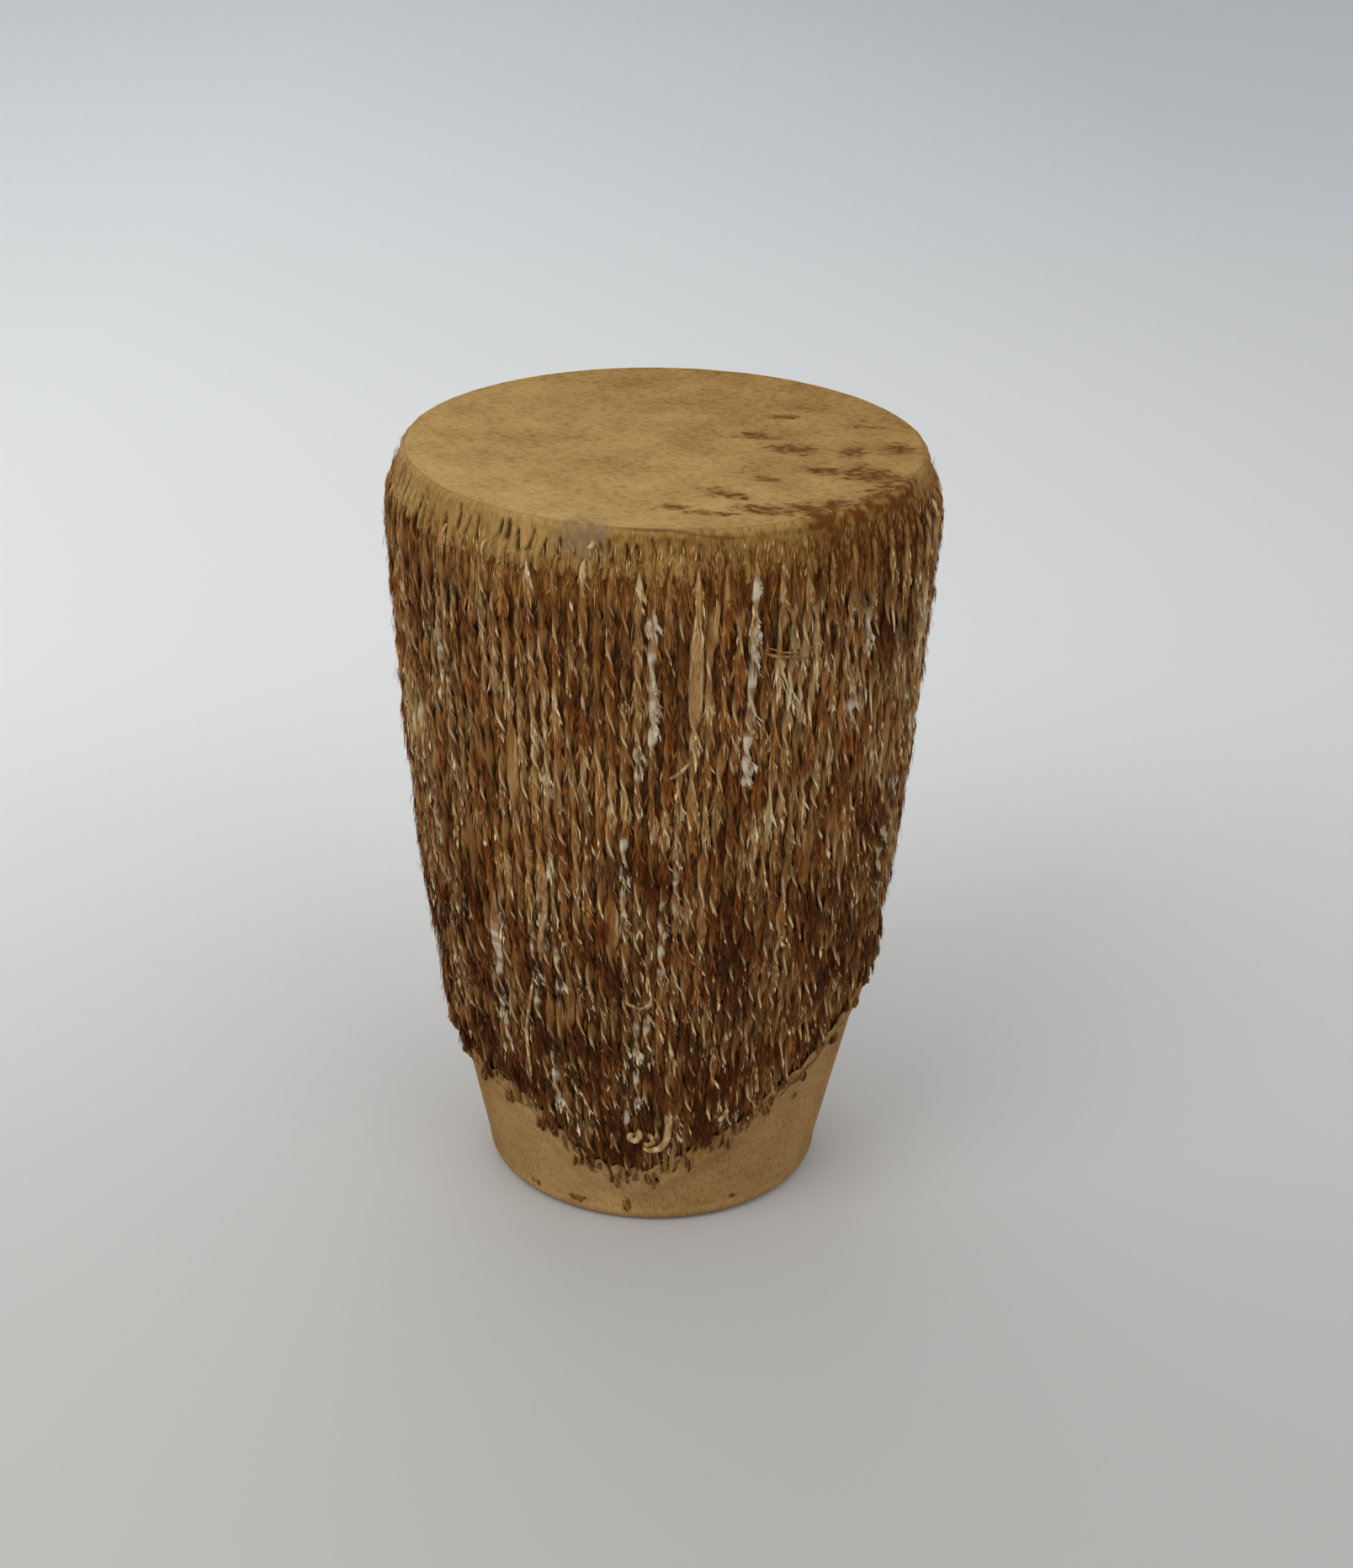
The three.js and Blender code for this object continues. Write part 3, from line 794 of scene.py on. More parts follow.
WHITE_STRETCHES = [
    # Where the hair is white: angle and height at each end, in degrees and millimetres
    (-1.1, 368, -1.5, 300),
    (-2.0, 300, -3.8, 270),
    (19.4, 370, 18.5, 303),
    (18.5, 303, 16.6, 262),
    (-27, 200, -22.8, 140),
    (-30.5, 172, -30.5, 130),
    (-39, 190, -41, 105),
    (-43, 150, -44, 118),
    (-6.5, 238, -7.6, 195),
    (5.0, 235, 1.0, 165),
    (-26.4, 108, -26.4, 76),
    (-4.3, 104, -6.7, 66),
    (-2.5, 145, -4.5, 86),
    (22.4, 80, 22.4, 56),
    (43.5, 305, 43, 285),
    (46.6, 350, 46.0, 325),
    (-52, 330, -50, 300),
    (-62, 250, -60, 210),
    (66, 240, 64, 190),
    (72, 340, 71, 300),
    (110, 350, 108, 250),
    (151, 300, 150, 190),
    (187, 340, 186, 300),
    (214, 260, 216, 150),
    (262, 330, 264, 240),
    (290, 200, 292, 130),
]

FLAT_STRETCHES = [
    # Where a strip lies flat with its bare side out: angle, lowest and highest height, and width
    (10.4, 338, 369, 8.2),
    (7.2, 300, 341, 6.6),
    (-9.5, 178, 201, 7.4),
    (-31, 255, 285, 6.4),
    (34, 205, 232, 6.6),
    (-20.5, 128, 150, 6.2),
    (-47, 205, 228, 6.6),
    (58, 250, 280, 6.4),
    (97, 300, 335, 6.8),
    (128, 180, 210, 6.8),
    (168, 260, 292, 7.2),
    (201, 320, 350, 6.6),
    (231, 210, 240, 6.8),
    (277, 270, 300, 6.8),
    (318, 150, 180, 6.6),
]


def white_amount(angle, height):
    """1 where the hair of a run is white, and 0 elsewhere, with short steps between."""
    amount = np.zeros(len(angle))
    for first_angle, first_height, last_angle, last_height in WHITE_STRETCHES:
        share = (height - first_height) / (last_height - first_height)
        apart = abs(degrees_from(first_angle + (last_angle - first_angle) * share, angle))
        ends = smooth_step(-0.06, 0.04, share) * smooth_step(1.06, 0.96, share)
        amount = np.maximum(amount, ends * (apart < math.degrees(RUN_ANGLE) / 2 + 0.1))
    return amount


def lacing_darkness(angle, height):
    """Dark furry patches in the lacing."""
    front = np.hypot(degrees_from(3.2, angle) / 3.0, (height - 316) / 40)
    left = np.hypot(degrees_from(-40, angle) / 5, (height - 90) / 16)
    return 0.45 * (1 - smooth_step(0.6, 1.1, front)) + 0.15 * (1 - smooth_step(0.6, 1.3, left))


def thong_route(first_run, generator):
    """Places along one thong as rows of angle, distance off the wood, height and share of full width."""
    runs = [(first_run + i + 0.5) * RUN_ANGLE for i in range(RUNS_PER_THONG)]
    places = thong_end(runs[0], -1, generator)[::-1]
    for i in range(0, RUNS_PER_THONG, 2):
        up, down = runs[i], runs[i + 1]
        middle = (up + down) / 2
        slit = SKIRT_HEM + 12 + generator.uniform(-2, 2)
        places += [
            (up, ON_WOOD, SKIRT_HEM - 30, 1),
            (up, OVER_HIDE - 0.6, SKIRT_HEM - 6, 0.9),
            (up, OVER_HIDE - 0.4, SKIRT_HEM + 5, 0.65),
            (up, OVER_HIDE - 0.8, slit - 3, 0.55),
            (up + (middle - up) * 0.2, OVER_HIDE - 2.8, slit, 0.45),
            (middle, BEHIND_HIDE + 0.4, slit - 1, 0.45),
            (down, BEHIND_HIDE, slit - 5, 0.5),
            (down, BEHIND_HIDE, SKIRT_HEM + 1, 0.7),
            (down, ON_WOOD - 0.4, SKIRT_HEM - 12, 1),
        ]
        if i + 2 < RUNS_PER_THONG:
            after = runs[i + 2]
            middle = (down + after) / 2
            edge = float(edge_height(middle))
            slit = edge - 4.5 + generator.uniform(-2, 1.5)
            places += [
                (down, ON_WOOD, edge + 30, 1),
                (down, OVER_HIDE - 0.6, edge + 7, 0.95),
                (down, OVER_HIDE, slit + 3, 0.75),
                (down + (middle - down) * 0.2, OVER_HIDE - 2.5, slit, 0.5),
                (middle, BEHIND_HIDE + 0.4, slit + 1, 0.45),
                (after, BEHIND_HIDE, slit + 5, 0.5),
                (after, BEHIND_HIDE, edge + 1, 0.7),
                (after, ON_WOOD - 0.4, edge + 14, 1),
            ]
    places += thong_end(runs[-1], 1, generator)
    return np.array(places)


def thong_end(run, side, generator):
    """The last places of a thong: behind the base hide, out through a slit and down as a short tail."""
    slit_at = run + side * RUN_ANGLE / 2
    edge = float(edge_height(slit_at))
    slit = edge - 4.5 + generator.uniform(-1.5, 1.5)
    out_at = slit_at - side * RUN_ANGLE * 0.27
    tail = generator.uniform(1.5, 5.5)
    lean = generator.uniform(-0.3, 0.3) * RUN_ANGLE
    return [
        (run, ON_WOOD - 0.4, edge + 14, 1),
        (run, BEHIND_HIDE, edge + 1, 0.7),
        (run + (out_at - run) * 0.5, BEHIND_HIDE, slit + 4, 0.5),
        (out_at, BEHIND_HIDE + 1.2, slit + 0.4, 0.45),
        (out_at, OVER_HIDE - 1.2, slit - 0.4, 0.45),
        (out_at, OVER_HIDE + 0.5, slit - 2, 0.55),
        (out_at + lean * 0.4, OVER_HIDE - 0.3, slit - 3 - tail * 0.5, 0.5),
        (out_at + lean, OVER_HIDE - 1.3, slit - 3 - tail, 0.25),
    ]


STEP = 1.7  # between rings of a strip, in millimetres


def sampled(places, step):
    """A route with a place at every step, in straight stretches that are then smoothed."""
    corners = on_drum(*places.T[:3])
    lengths = np.linalg.norm(np.diff(corners, axis=0), axis=1)
    at = np.concatenate([[0], np.cumsum(lengths)])
    along = np.arange(0, at[-1], step)
    rows = np.stack([np.interp(along, at, column) for column in places.T], axis=-1)
    kernel = np.array([1, 2, 3, 2, 1]) / 9
    padded = np.pad(rows, ((2, 2), (0, 0)), mode="edge")
    return along, np.stack([np.convolve(column, kernel, mode="valid") for column in padded.T], axis=-1)


# Corners of a strip's section as shares of its width and thickness, how white their hair can be, and
# which faces after them are the cut edges and which the bare side
SECTION = np.array([
    (-0.5, 0.28), (-0.3, 0.52), (0, 0.62), (0.3, 0.52), (0.5, 0.28),
    (0.5, -0.26), (0.3, -0.4), (0, -0.34), (-0.3, -0.4), (-0.5, -0.26),
])
WHITE = np.array([0.9, 0.8, 0.7, 0.8, 0.9, 0.9, 0.8, 0.8, 0.8, 0.9])
CUT = np.array([0, 0, 0, 0, 1, 0.45, 0, 0, 0.45, 1])
BARE = np.array([0, 0, 0, 0, 1, 0.8, 0.6, 0.6, 0.8, 1])


def unit(vectors):
    return vectors / np.linalg.norm(vectors, axis=1)[:, None]


class Strip:
    """One thong: its rings of points, its faces and the numbers that its material and fur need."""

    def __init__(self, index, settings):
        self.generator = np.random.default_rng(settings.seed * 1000 + index)
        self.along, rows = sampled(thong_route(index * RUNS_PER_THONG, self.generator), STEP)
        angle, stand, self.height, width_share = rows.T
        self.free = smooth_step(0.8, 1.0, width_share)
        # A run strays to its sides in long waves with shorter ones on them
        stray = settings.wander * 1000 * (0.65 * self.ripple(38) + 0.35 * self.ripple(17))
        self.angle = angle + self.free * stray / wood_radius(self.height)
        stand = stand + self.free * (0.55 * self.ripple(26) + 0.25)
        self.width = settings.strip_width * 1000 * width_share * (1 + 0.32 * self.ripple(31))
        self.white = white_amount(self.angle, self.height)
        self.lower = smooth_step(260, 180, self.height)
        # The twist varies, but is even where low white hair shows as beads
        uneven = 0.55 * (1 - self.white * self.lower)
        rate = math.pi / (settings.half_twist * 1000) * (1 + uneven * self.ripple(33))
        self.middle = on_drum(self.angle, stand, self.height)
        self.turn = self.generator.uniform(0, 2 * math.pi) - np.cumsum(rate) * STEP
        for degrees, lowest, highest, width in FLAT_STRETCHES:
            run = round(math.radians(degrees % 360) / RUN_ANGLE - 0.5)
            if run // RUNS_PER_THONG == index:
                self.lay_flat((run + 0.5) * RUN_ANGLE, lowest, highest, width)
        self.set_directions()
        thickness = settings.strip_thickness * 1000 * (0.75 + 0.25 * width_share)
        self.thickness = thickness * (1 + 0.15 * self.ripple(12)) * (1 + 0.15 * self.white)
        self.width = self.width * (1 + (0.25 - 0.2 * self.lower) * self.white)
        self.on_skirt = (self.height > SKIRT_HEM - 3) & (stand > OVER_HIDE - 2)
        self.set_colours()

    def ripple(self, step):
        """Smooth random numbers at the rings, that change over each step."""
        return ripple(self.generator, self.along, step)

    def lay_flat(self, run_angle, lowest, highest, width):
        """Holds the strip flat and wide, with its bare side out, between two heights of one of its runs."""
        on_run = abs(self.angle - run_angle) < RUN_ANGLE / 2
        held_rings = np.flatnonzero(on_run & (self.height > lowest) & (self.height < highest))
        if not held_rings.size:
            return
        first, last = held_rings[[0, -1]]
        # The bare side is out at a turn of 0 where the strip rises, and at half a turn where it falls
        rises = (np.gradient(self.height) > 0)[first : last + 1].mean() > 0.5
        target = 0 if rises else math.pi
        held = target + 2 * math.pi * round((self.turn[first] - target) / (2 * math.pi))
        ring = np.arange(len(self.turn))
        lead_in = np.clip(1 - (first - ring) / 12, 0, 1) * (ring <= first)
        self.turn = self.turn + lead_in * (held - self.turn[first])
        self.turn[first : last + 1] = held + 0.25 * ripple(self.generator, self.along[first : last + 1], 9)
        self.turn[last + 1 :] += held - self.turn[last + 1]
        ease = smooth_step(first - 3, first + 3, ring) * smooth_step(last + 3, last - 3, ring)
        self.width = self.width * (1 - ease) + width * ease

    def set_directions(self):
        """Directions at each ring: across the strip, out of its hairy side, and away from the drum."""
        tangent = unit(np.gradient(self.middle, axis=0))
        self.outward = outward_at(self.angle)
        aside = np.stack([np.cos(self.angle), np.sin(self.angle), 0 * self.angle], axis=-1)
        side = unit(aside - (aside * tangent).sum(1)[:, None] * tangent)
        face = np.cross(tangent, side)
        cosine, sine = np.cos(self.turn)[:, None], np.sin(self.turn)[:, None]
        self.across = cosine * side + sine * face
        self.normal = cosine * face - sine * side

    def set_colours(self):
        """Numbers at each ring that tell how dark, warm, white and furry the strip is."""
        broad = broad_patch(self.middle)
        base = 0.31 + 0.1 * self.generator.uniform(-1, 1) + 0.33 * smooth_step(120, 270, self.height)
        base += 0.28 * broad - 0.06 * near_turn(self.angle, 52, 16)
        base += 0.1 * patches(self.middle, 45, 1) + 0.14 * patches(self.middle * (1, 1, 0.3), 6, 2)
        dark = lacing_darkness(self.angle, self.height)
        shade = np.clip(base + 0.1 * self.ripple(20) - dark, 0, 1)
        warmth = 0.62 + 0.5 * patches(self.middle * (1, 1, 0.3), 8, 3) - 0.15 * broad
        self.warmth = np.clip(warmth + 0.2 * self.ripple(25), 0, 1)
        # White hair shows where the strip lies flat, as beads that are darker between lower down
        bead = smooth_step(0.2 + 0.3 * self.lower, 0.7 + 0.15 * self.lower, abs(np.cos(self.turn)))
        beads = 0.5 - 0.5 * self.lower + (0.5 + 0.5 * self.lower) * bead
        self.pale = self.white * (0.25 + 0.75 * smooth_step(-0.5, 0.1, self.ripple(2.8))) * beads
        shade = np.clip(shade - 0.25 * self.white * self.lower * (1 - bead), 0, 1)
        # Painted light: the strips are lighter towards the skirt's hem, against the shadow that the skirt
        # casts there
        self.shade = shade + 0.16 * smooth_step(SKIRT_HEM - 14, SKIRT_HEM + 4, self.height)
        thick = smooth_step(0.3, -0.3, broad + 0.4 * patches(self.middle * (1, 1, 0.5), 16, 9))
        self.thickness_of_fur = np.clip(thick + 2.5 * dark, 0, 1)
        self.edge_light = self.free * smooth_step(-0.7, 0.3, self.ripple(9) + broad) * (1 - 2 * dark)

    def mesh(self):
        """Points, faces, named numbers and bake map of the strip."""
        sides, rings = len(SECTION), len(self.along)
        wide, thick = self.width[:, None] * SECTION[:, 0], self.thickness[:, None] * SECTION[:, 1]
        points = self.middle[:, None] + wide[..., None] * self.across[:, None]
        points = points + thick[..., None] * self.normal[:, None]
        faces = grid_faces(rings, sides).tolist()
        faces += [range(sides)[::-1], range((rings - 1) * sides, rings * sides)]
        round_strip = np.tile(np.arange(sides) * 3.0, rings)
        values = {
            "shade": np.repeat(self.shade, sides),
            "warmth": np.repeat(self.warmth, sides),
            "lay": np.stack([wide.ravel(), np.repeat(self.along, sides), round_strip], axis=-1) / 1000,
            "pale": (self.pale[:, None] * WHITE).ravel(),
            "cut_edge": np.concatenate([(self.edge_light[:-1, None] * CUT).ravel(), [0, 0]]),
            "bare": np.concatenate([np.tile(BARE, rings - 1), [1, 1]]),
        }
        return points.reshape(-1, 3), faces, values, strip_bake_map(rings, sides)


def strip_bake_map(rings, sides):
    """A bake map that lays a strip out in columns side by side, with its two ends in a corner."""
    columns = 8
    rows = math.ceil((rings - 1) / columns)
    ring, side = np.meshgrid(np.arange(rings - 1), np.arange(sides), indexing="ij")
    column, row = ring // rows, ring % rows
    left = (column + 0.04 + 0.92 * side / sides) / columns
    right = (column + 0.04 + 0.92 * (side + 1) / sides) / columns
    low, high = 0.01 + 0.98 * row / rows, 0.01 + 0.98 * (row + 1) / rows
    corners = np.stack([left, low, right, low, right, high, left, high], axis=-1).reshape(-1, 2)
    return np.concatenate([corners, np.tile([[0.002, 0.002], [0.004, 0.002]], (sides, 1))])


def tufts(generator, root, outward, length, half_width, lift, sway, shade, warmth, pale):
    """Tapered tufts of hair that hang down from their roots: points, faces, named numbers and bake map."""
    n = len(root)
    side = unit(np.cross((0, 0, 1), outward))
    first = unit(outward * lift[:, None] + side * sway[:, None] + (0, 0, -1))
    second = first - outward * (lift * generator.uniform(0.6, 1.5, n))[:, None]
    second = unit(second + side * (sway * generator.uniform(-1.2, 0.6, n))[:, None])
    spin = generator.uniform(-0.7, 0.7, n)
    flat = (side * np.cos(spin)[:, None] + outward * np.sin(spin)[:, None]) * half_width[:, None]
    middle = root + first * (0.5 * length)[:, None]
    tip = middle + second * (0.5 * length)[:, None]
    corners = [root - flat * 0.3, root + flat * 0.3, middle - flat, middle + flat, tip]
    points = np.stack(corners, axis=1).reshape(-1, 3)
    values = {
        "shade": np.repeat(np.clip(shade, 0, 1), 5),
        "warmth": np.repeat(np.clip(warmth, 0, 1), 5),
        "pale": np.repeat(pale, 5),
        "along": np.tile([0, 0, 0.5, 0.5, 1.0], n),
    }
    tuft = np.arange(n)[:, None] * 5
    faces = np.concatenate([tuft + c for c in ((0, 1, 3), (0, 3, 2), (2, 3, 4))], axis=1).reshape(-1, 3)
    # The bake map has the shade across and the length of the hair up, in a band for each step of warmth
    bands = 6
    across = values["shade"] * 0.46 + values["pale"] * 0.5 + 0.02
    across += np.tile([-0.006, 0.006, -0.006, 0.006, 0], n)
    band = np.round(values["warmth"] * (bands - 1))
    place = np.stack([across, (band + 0.04 + 0.92 * values["along"]) / bands], axis=-1)
    return points, faces.tolist(), values, place[faces.ravel()]


def fur_piece(name, generator, coats, material):
    """A piece of all the tufts of some coats."""
    whole = {key: np.concatenate([coat[key] for coat in coats]) for key in coats[0]}
    points, faces, values, bake_map = tufts(generator, **whole)
    piece(name, points, faces, material, values, bake_map)


def broad_patch(points):
    """Where the lacing is light or dark over one or two centimetres, about -0.5 to 0.5."""
    return patches(points * (1, 1, 0.45), 15, 31)


def clump_shade(points):
    """How much lighter or darker fur is from clump to clump, in upright clumps a few millimetres wide."""
    return 0.3 * patches(points * (1, 1, 0.2), 2.6, 21) + 0.16 * patches(points * (1, 1, 0.3), 8, 22)


def strip_fur(strip, per_cm, length, half_width, lift):
    """Roots of the fur on a strip's hairy side and edges, and how each tuft grows."""
    generator = strip.generator
    count = int(strip.along[-1] / 10 * per_cm)
    ring = generator.integers(0, len(strip.along), count)
    aside = generator.uniform(-0.6, 0.6, count)
    normal = strip.normal[ring] + strip.across[ring] * (1.1 * aside)[:, None]
    facing = (normal * strip.outward[ring]).sum(1)
    rooted = (facing > -0.25) & (strip.free[ring] > 0.05) | strip.on_skirt[ring]
    keep = rooted & (generator.random(count) < 0.4 + 0.6 * strip.thickness_of_fur[ring])
    ring, aside = ring[keep], aside[keep]
    n = len(ring)
    furry, on_skirt = strip.thickness_of_fur[ring], strip.on_skirt[ring]
    root = strip.middle[ring] + strip.across[ring] * (aside * strip.width[ring])[:, None]
    root += strip.normal[ring] * (0.3 * strip.thickness[ring])[:, None]
    away = (strip.across[ring] * np.cross((0, 0, 1), strip.outward[ring])).sum(1) * aside
    pale = generator.random(n) < strip.pale[ring]
    angle, height = angle_of(root), root[:, 2]
    # Some tufts are light ones, which are shorter and wider, and most of these are where fur is thin
    light = (generator.random(n) < 0.03 + 0.3 * (1 - furry)) & ~on_skirt | pale
    shade = strip.shade[ring] - 0.08 * furry + clump_shade(root) * (1 - 0.4 * furry)
    shade += generator.normal(0.03, 0.11, n)
    room = height - edge_height(angle)
    length = length * np.clip(0.25 + room / 16, 0.3, 1) * np.where(on_skirt, 0.6, 1)
    # Low on the left the fur leans to one side
    leaning = near_turn(angle, -40, 26) * smooth_step(270, 140, height)
    return {
        "root": root,
        "outward": strip.outward[ring],
        "length": length * generator.uniform(0.45, 1.25, n) * np.where(light, 0.65, 1),
        "half_width": generator.uniform(*half_width, n) * np.where(light, 1.2, 1) * np.where(pale, 1.3, 1),
        "lift": lift[0] + (lift[1] - lift[0]) * generator.random(n) ** 2,
        "sway": 0.3 * away + generator.normal(0.1, 0.14, n) + 0.12 * light + 0.2 * leaning + 0.2 * pale,
        "shade": np.where(light, generator.uniform(0.8, 1.1, n), shade),
        "warmth": strip.warmth[ring] + 0.3 * furry - 0.1 + generator.normal(0.0, 0.2, n),
        "pale": pale.astype(float),
    }


def under_fur(generator, first_angle, last_angle, settings):
    """Roots of the dark fur that fills the gaps between the runs."""
    # The lacing's mean radius and its height, in centimetres
    radius, tall = 12, 31
    n = int(settings.under_fur * (last_angle - first_angle) * radius * tall)
    angle = generator.uniform(first_angle, last_angle, n)
    gap = np.round(angle / RUN_ANGLE) * RUN_ANGLE
    angle = gap + (angle - gap) * 0.75
    lowest = edge_height(angle) + 8
    height = lowest + (SKIRT_HEM + 12 - lowest) * generator.random(n)
    root = on_drum(angle, 0.8 + 1.2 * generator.random(n), height)
    shade = 0.4 + 0.2 * smooth_step(16, 0, height - lowest)
    # Painted light: the fur is lighter towards the skirt's hem, against the shadow that the skirt casts there
    shade += 0.22 * smooth_step(SKIRT_HEM - 24, SKIRT_HEM, height)
    shade += 0.24 * broad_patch(root) - 0.12 * smooth_step(240, 120, height)
    return {
        "root": root,
        "outward": outward_at(angle),
        "length": settings.lock_length * 1000 * generator.uniform(0.5, 1.1, n),
        "half_width": generator.uniform(0.3, 0.8, n),
        "lift": generator.uniform(0.04, 0.2, n),
        "sway": generator.normal(0.04, 0.1, n),
        "shade": shade + clump_shade(root) + generator.normal(0.0, 0.12, n),
        "warmth": 0.7 + generator.normal(0.0, 0.25, n),
        "pale": np.zeros(n),
    }


def skirt_fur(generator, count, lowest, highest, length, lift, least):
    """Roots of hair on the playing hide's skirt: tan above, brown towards the hem, dark at the right. The
    coat keeps at least some share of its hairs where it is light."""
    angle = generator.uniform(0, 2 * math.pi, count)
    height = generator.uniform(lowest, highest, count)
    share = least + (1 - least) * skirt_darkness(angle, height) + 0.4 * near_turn(angle, 14, 20)
    keep = generator.random(count) < share
    angle, height = angle[keep], height[keep]
    n = len(angle)
    root = on_drum(angle, HEM_STAND_OFF + HIDE_THICKNESS + 0.2, height)
    dark = skirt_darkness(angle, height)
    shade = 0.75 - 0.35 * dark + 0.24 * (generator.random(n) < 0.1)
    return {
        "root": root,
        "outward": outward_at(angle),
        "length": length * generator.uniform(0.5, 1.3, n),
        "half_width": generator.uniform(0.12, 0.4, n),
        "lift": generator.uniform(*lift, n),
        "sway": generator.normal(0.04, 0.12, n),
        "shade": shade + clump_shade(root) + generator.normal(0.0, 0.12, n),
        "warmth": 0.6 + 0.35 * dark + generator.normal(0.0, 0.25, n),
        "pale": np.zeros(n),
    }


class DRUM_OT_skirt_fur(bpy.types.Operator):
    """Makes the hair that lies down the playing hide's skirt and hangs over its hem"""

    bl_idname = "drum.skirt_fur"
    bl_label = "Skirt hair"

    def execute(self, context):
        hides, lacing = context.scene.drum_hides, context.scene.drum_lacing
        generator = np.random.default_rng(hides.seed + 2)
        coats = [
            skirt_fur(generator, 10000, SKIRT_HEM + 4, HEAD_TOP - 5, 5.0, (0.0, 0.06), 0.05),
            skirt_fur(generator, 12000, SKIRT_HEM - 1, SKIRT_HEM + 6, 12.0, (0.0, 0.12), 0.7),
        ]
        fur = loose_fur("golden_brown_skirt_hair", skirt_stops(hides), lacing)
        fur_piece("skirt_fur", generator, coats, fur)
        return {"FINISHED"}


SECTORS = 8


class DRUM_OT_lacing(bpy.types.Operator):
    """Makes the twisted thongs and the fur that stands out of them, one object of fur to each sector"""

    bl_idname = "drum.lacing"
    bl_label = "Lacing"

    def execute(self, context):
        settings = context.scene.drum_lacing
        hide = hair_on_thong(settings)
        fur = loose_fur("coarse_brown_fur_tufts", fur_stops(settings), settings)
        strips = [Strip(i, settings) for i in range(len(THONGS))]
        for name, strip in zip(THONGS, strips):
            points, faces, values, bake_map = strip.mesh()
            made = piece(f"twisted_{name}", points, faces, hide, values, bake_map)
            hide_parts(name)
        # Flat locks, and stray hairs that stand further out
        lock = (settings.locks_per_cm, settings.lock_length * 1000, (0.22, 0.75), (0.0, 0.22))
        hair = (settings.hairs_per_cm, settings.hair_length * 1000, (0.07, 0.2), (0.1, 0.75))
        share = len(strips) // SECTORS
        width = 2 * math.pi / SECTORS
        for sector in range(SECTORS):
            generator = np.random.default_rng(settings.seed + 100 + sector)
            here = strips[sector * share : (sector + 1) * share]
            coats = [strip_fur(strip, *kind) for strip in here for kind in (lock, hair)]
            coats.append(under_fur(generator, sector * width, (sector + 1) * width, settings))
            fur_piece(f"lacing_fur_{sector + 1}", generator, coats, fur)
        return {"FINISHED"}


LOOSE_ENDS = [
    # Strands that hang loose: half width, half thickness, how pale, and places as angle, distance off the
    # wood and height. The first two are a tie across two runs.
    (0.8, 0.6, 0.05, [(20.4, 5.6, 334), (23, 7.2, 332), (26.5, 7.2, 331), (30.3, 5.8, 328)]),
    (0.4, 0.4, 0.15, [(20.8, 6.6, 337), (24, 7.6, 334), (28, 7.4, 332.5), (30.8, 6.4, 334)]),
    # Curls above the foot
    (1.8, 1.1, 0.7, [
        (4.6, 5.8, 80), (4.6, 7.2, 71), (4.2, 8.4, 62),
        (2.2, 8.8, 56), (-1.0, 8.4, 54.5), (-2.4, 7.6, 56),
    ]),
    (1.6, 1.2, 0.6, [
        (-3.8, 5.4, 67), (-3.2, 7.6, 63.5), (-4.4, 8.4, 60.5),
        (-6.0, 8.4, 62), (-5.8, 8.4, 65), (-4.6, 7.8, 64.6),
    ]),
    (1.3, 1.1, 0.5, [
        (-1.6, 5.4, 64), (0.2, 7.4, 62.5), (0.4, 8.2, 59.5), (-1.4, 8.4, 58), (-2.0, 8.2, 60.5),
    ]),
    # A loop in the lacing, a hook at the right and a fleck below the rim of the head
    (0.8, 0.6, 0.7, [
        (-6.4, 6.8, 153), (-6.2, 7.8, 147.5), (-3.4, 8.2, 145), (-0.9, 7.8, 147.5), (-0.6, 6.8, 153),
    ]),
    (1.3, 0.9, 1.0, [(20.8, 6.0, 77.5), (19.6, 8.0, 74), (17.9, 7.8, 71)]),
    (1.1, 0.6, 0.8, [(-13.2, 5.2, 387), (-13.9, 6.2, 384.6), (-14.7, 5.2, 383)]),
    # Tails below the edge of the base hide
    (0.8, 0.7, 0.2, [(-11.4, 5.6, 63), (-11.2, 6.4, 57), (-11.6, 5.6, 51)]),
    (0.8, 0.7, 0.3, [(-16.0, 5.6, 66), (-15.2, 6.2, 58), (-14.6, 5.0, 50)]),
    (0.7, 0.6, 0.2, [(3.6, 5.6, 56), (4.2, 6.0, 50), (3.4, 5.0, 44)]),
    # Two strands down the left, and a tuft that lies across the front
    (1.6, 0.7, 0.3, [
        (-25.2, 5.4, 218), (-24.9, 6.6, 202), (-25.2, 6.8, 191), (-26.7, 6.6, 178), (-27.5, 5.4, 163),
    ]),
    (0.9, 0.6, 0.9, [
        (-29.8, 5.4, 153), (-31.3, 6.6, 136), (-33.1, 6.8, 119), (-33.6, 6.6, 103), (-34.1, 5.6, 88),
    ]),
    (1.0, 0.8, 0.1, [(6.2, 5.8, 281), (4.2, 7.0, 276), (2.0, 7.2, 273)]),
]


def strand(route, half_width, half_thickness):
    """A thin rounded strand that tapers at its ends: its points, faces and place along it."""
    middle = on_drum(*route.T)
    tangent = unit(np.gradient(middle, axis=0))
    across = unit(np.cross(tangent, middle * (1, 1, 0)))
    normal = np.cross(across, tangent)
    along = np.linspace(0, 1, len(route))
    taper = 0.35 + 0.65 * smooth_step(0, 0.15, along) * smooth_step(1, 0.85, along)
    sides = 8
    turn = np.arange(sides)[None, :, None] * 2 * math.pi / sides
    ring = half_width * np.cos(turn) * across[:, None] + half_thickness * np.sin(turn) * normal[:, None]
    points = middle[:, None] + taper[:, None, None] * ring
    faces = grid_faces(len(route), sides).tolist()
    faces += [range(sides)[::-1], range((len(route) - 1) * sides, len(route) * sides)]
    return points.reshape(-1, 3), faces, np.repeat(along, sides)


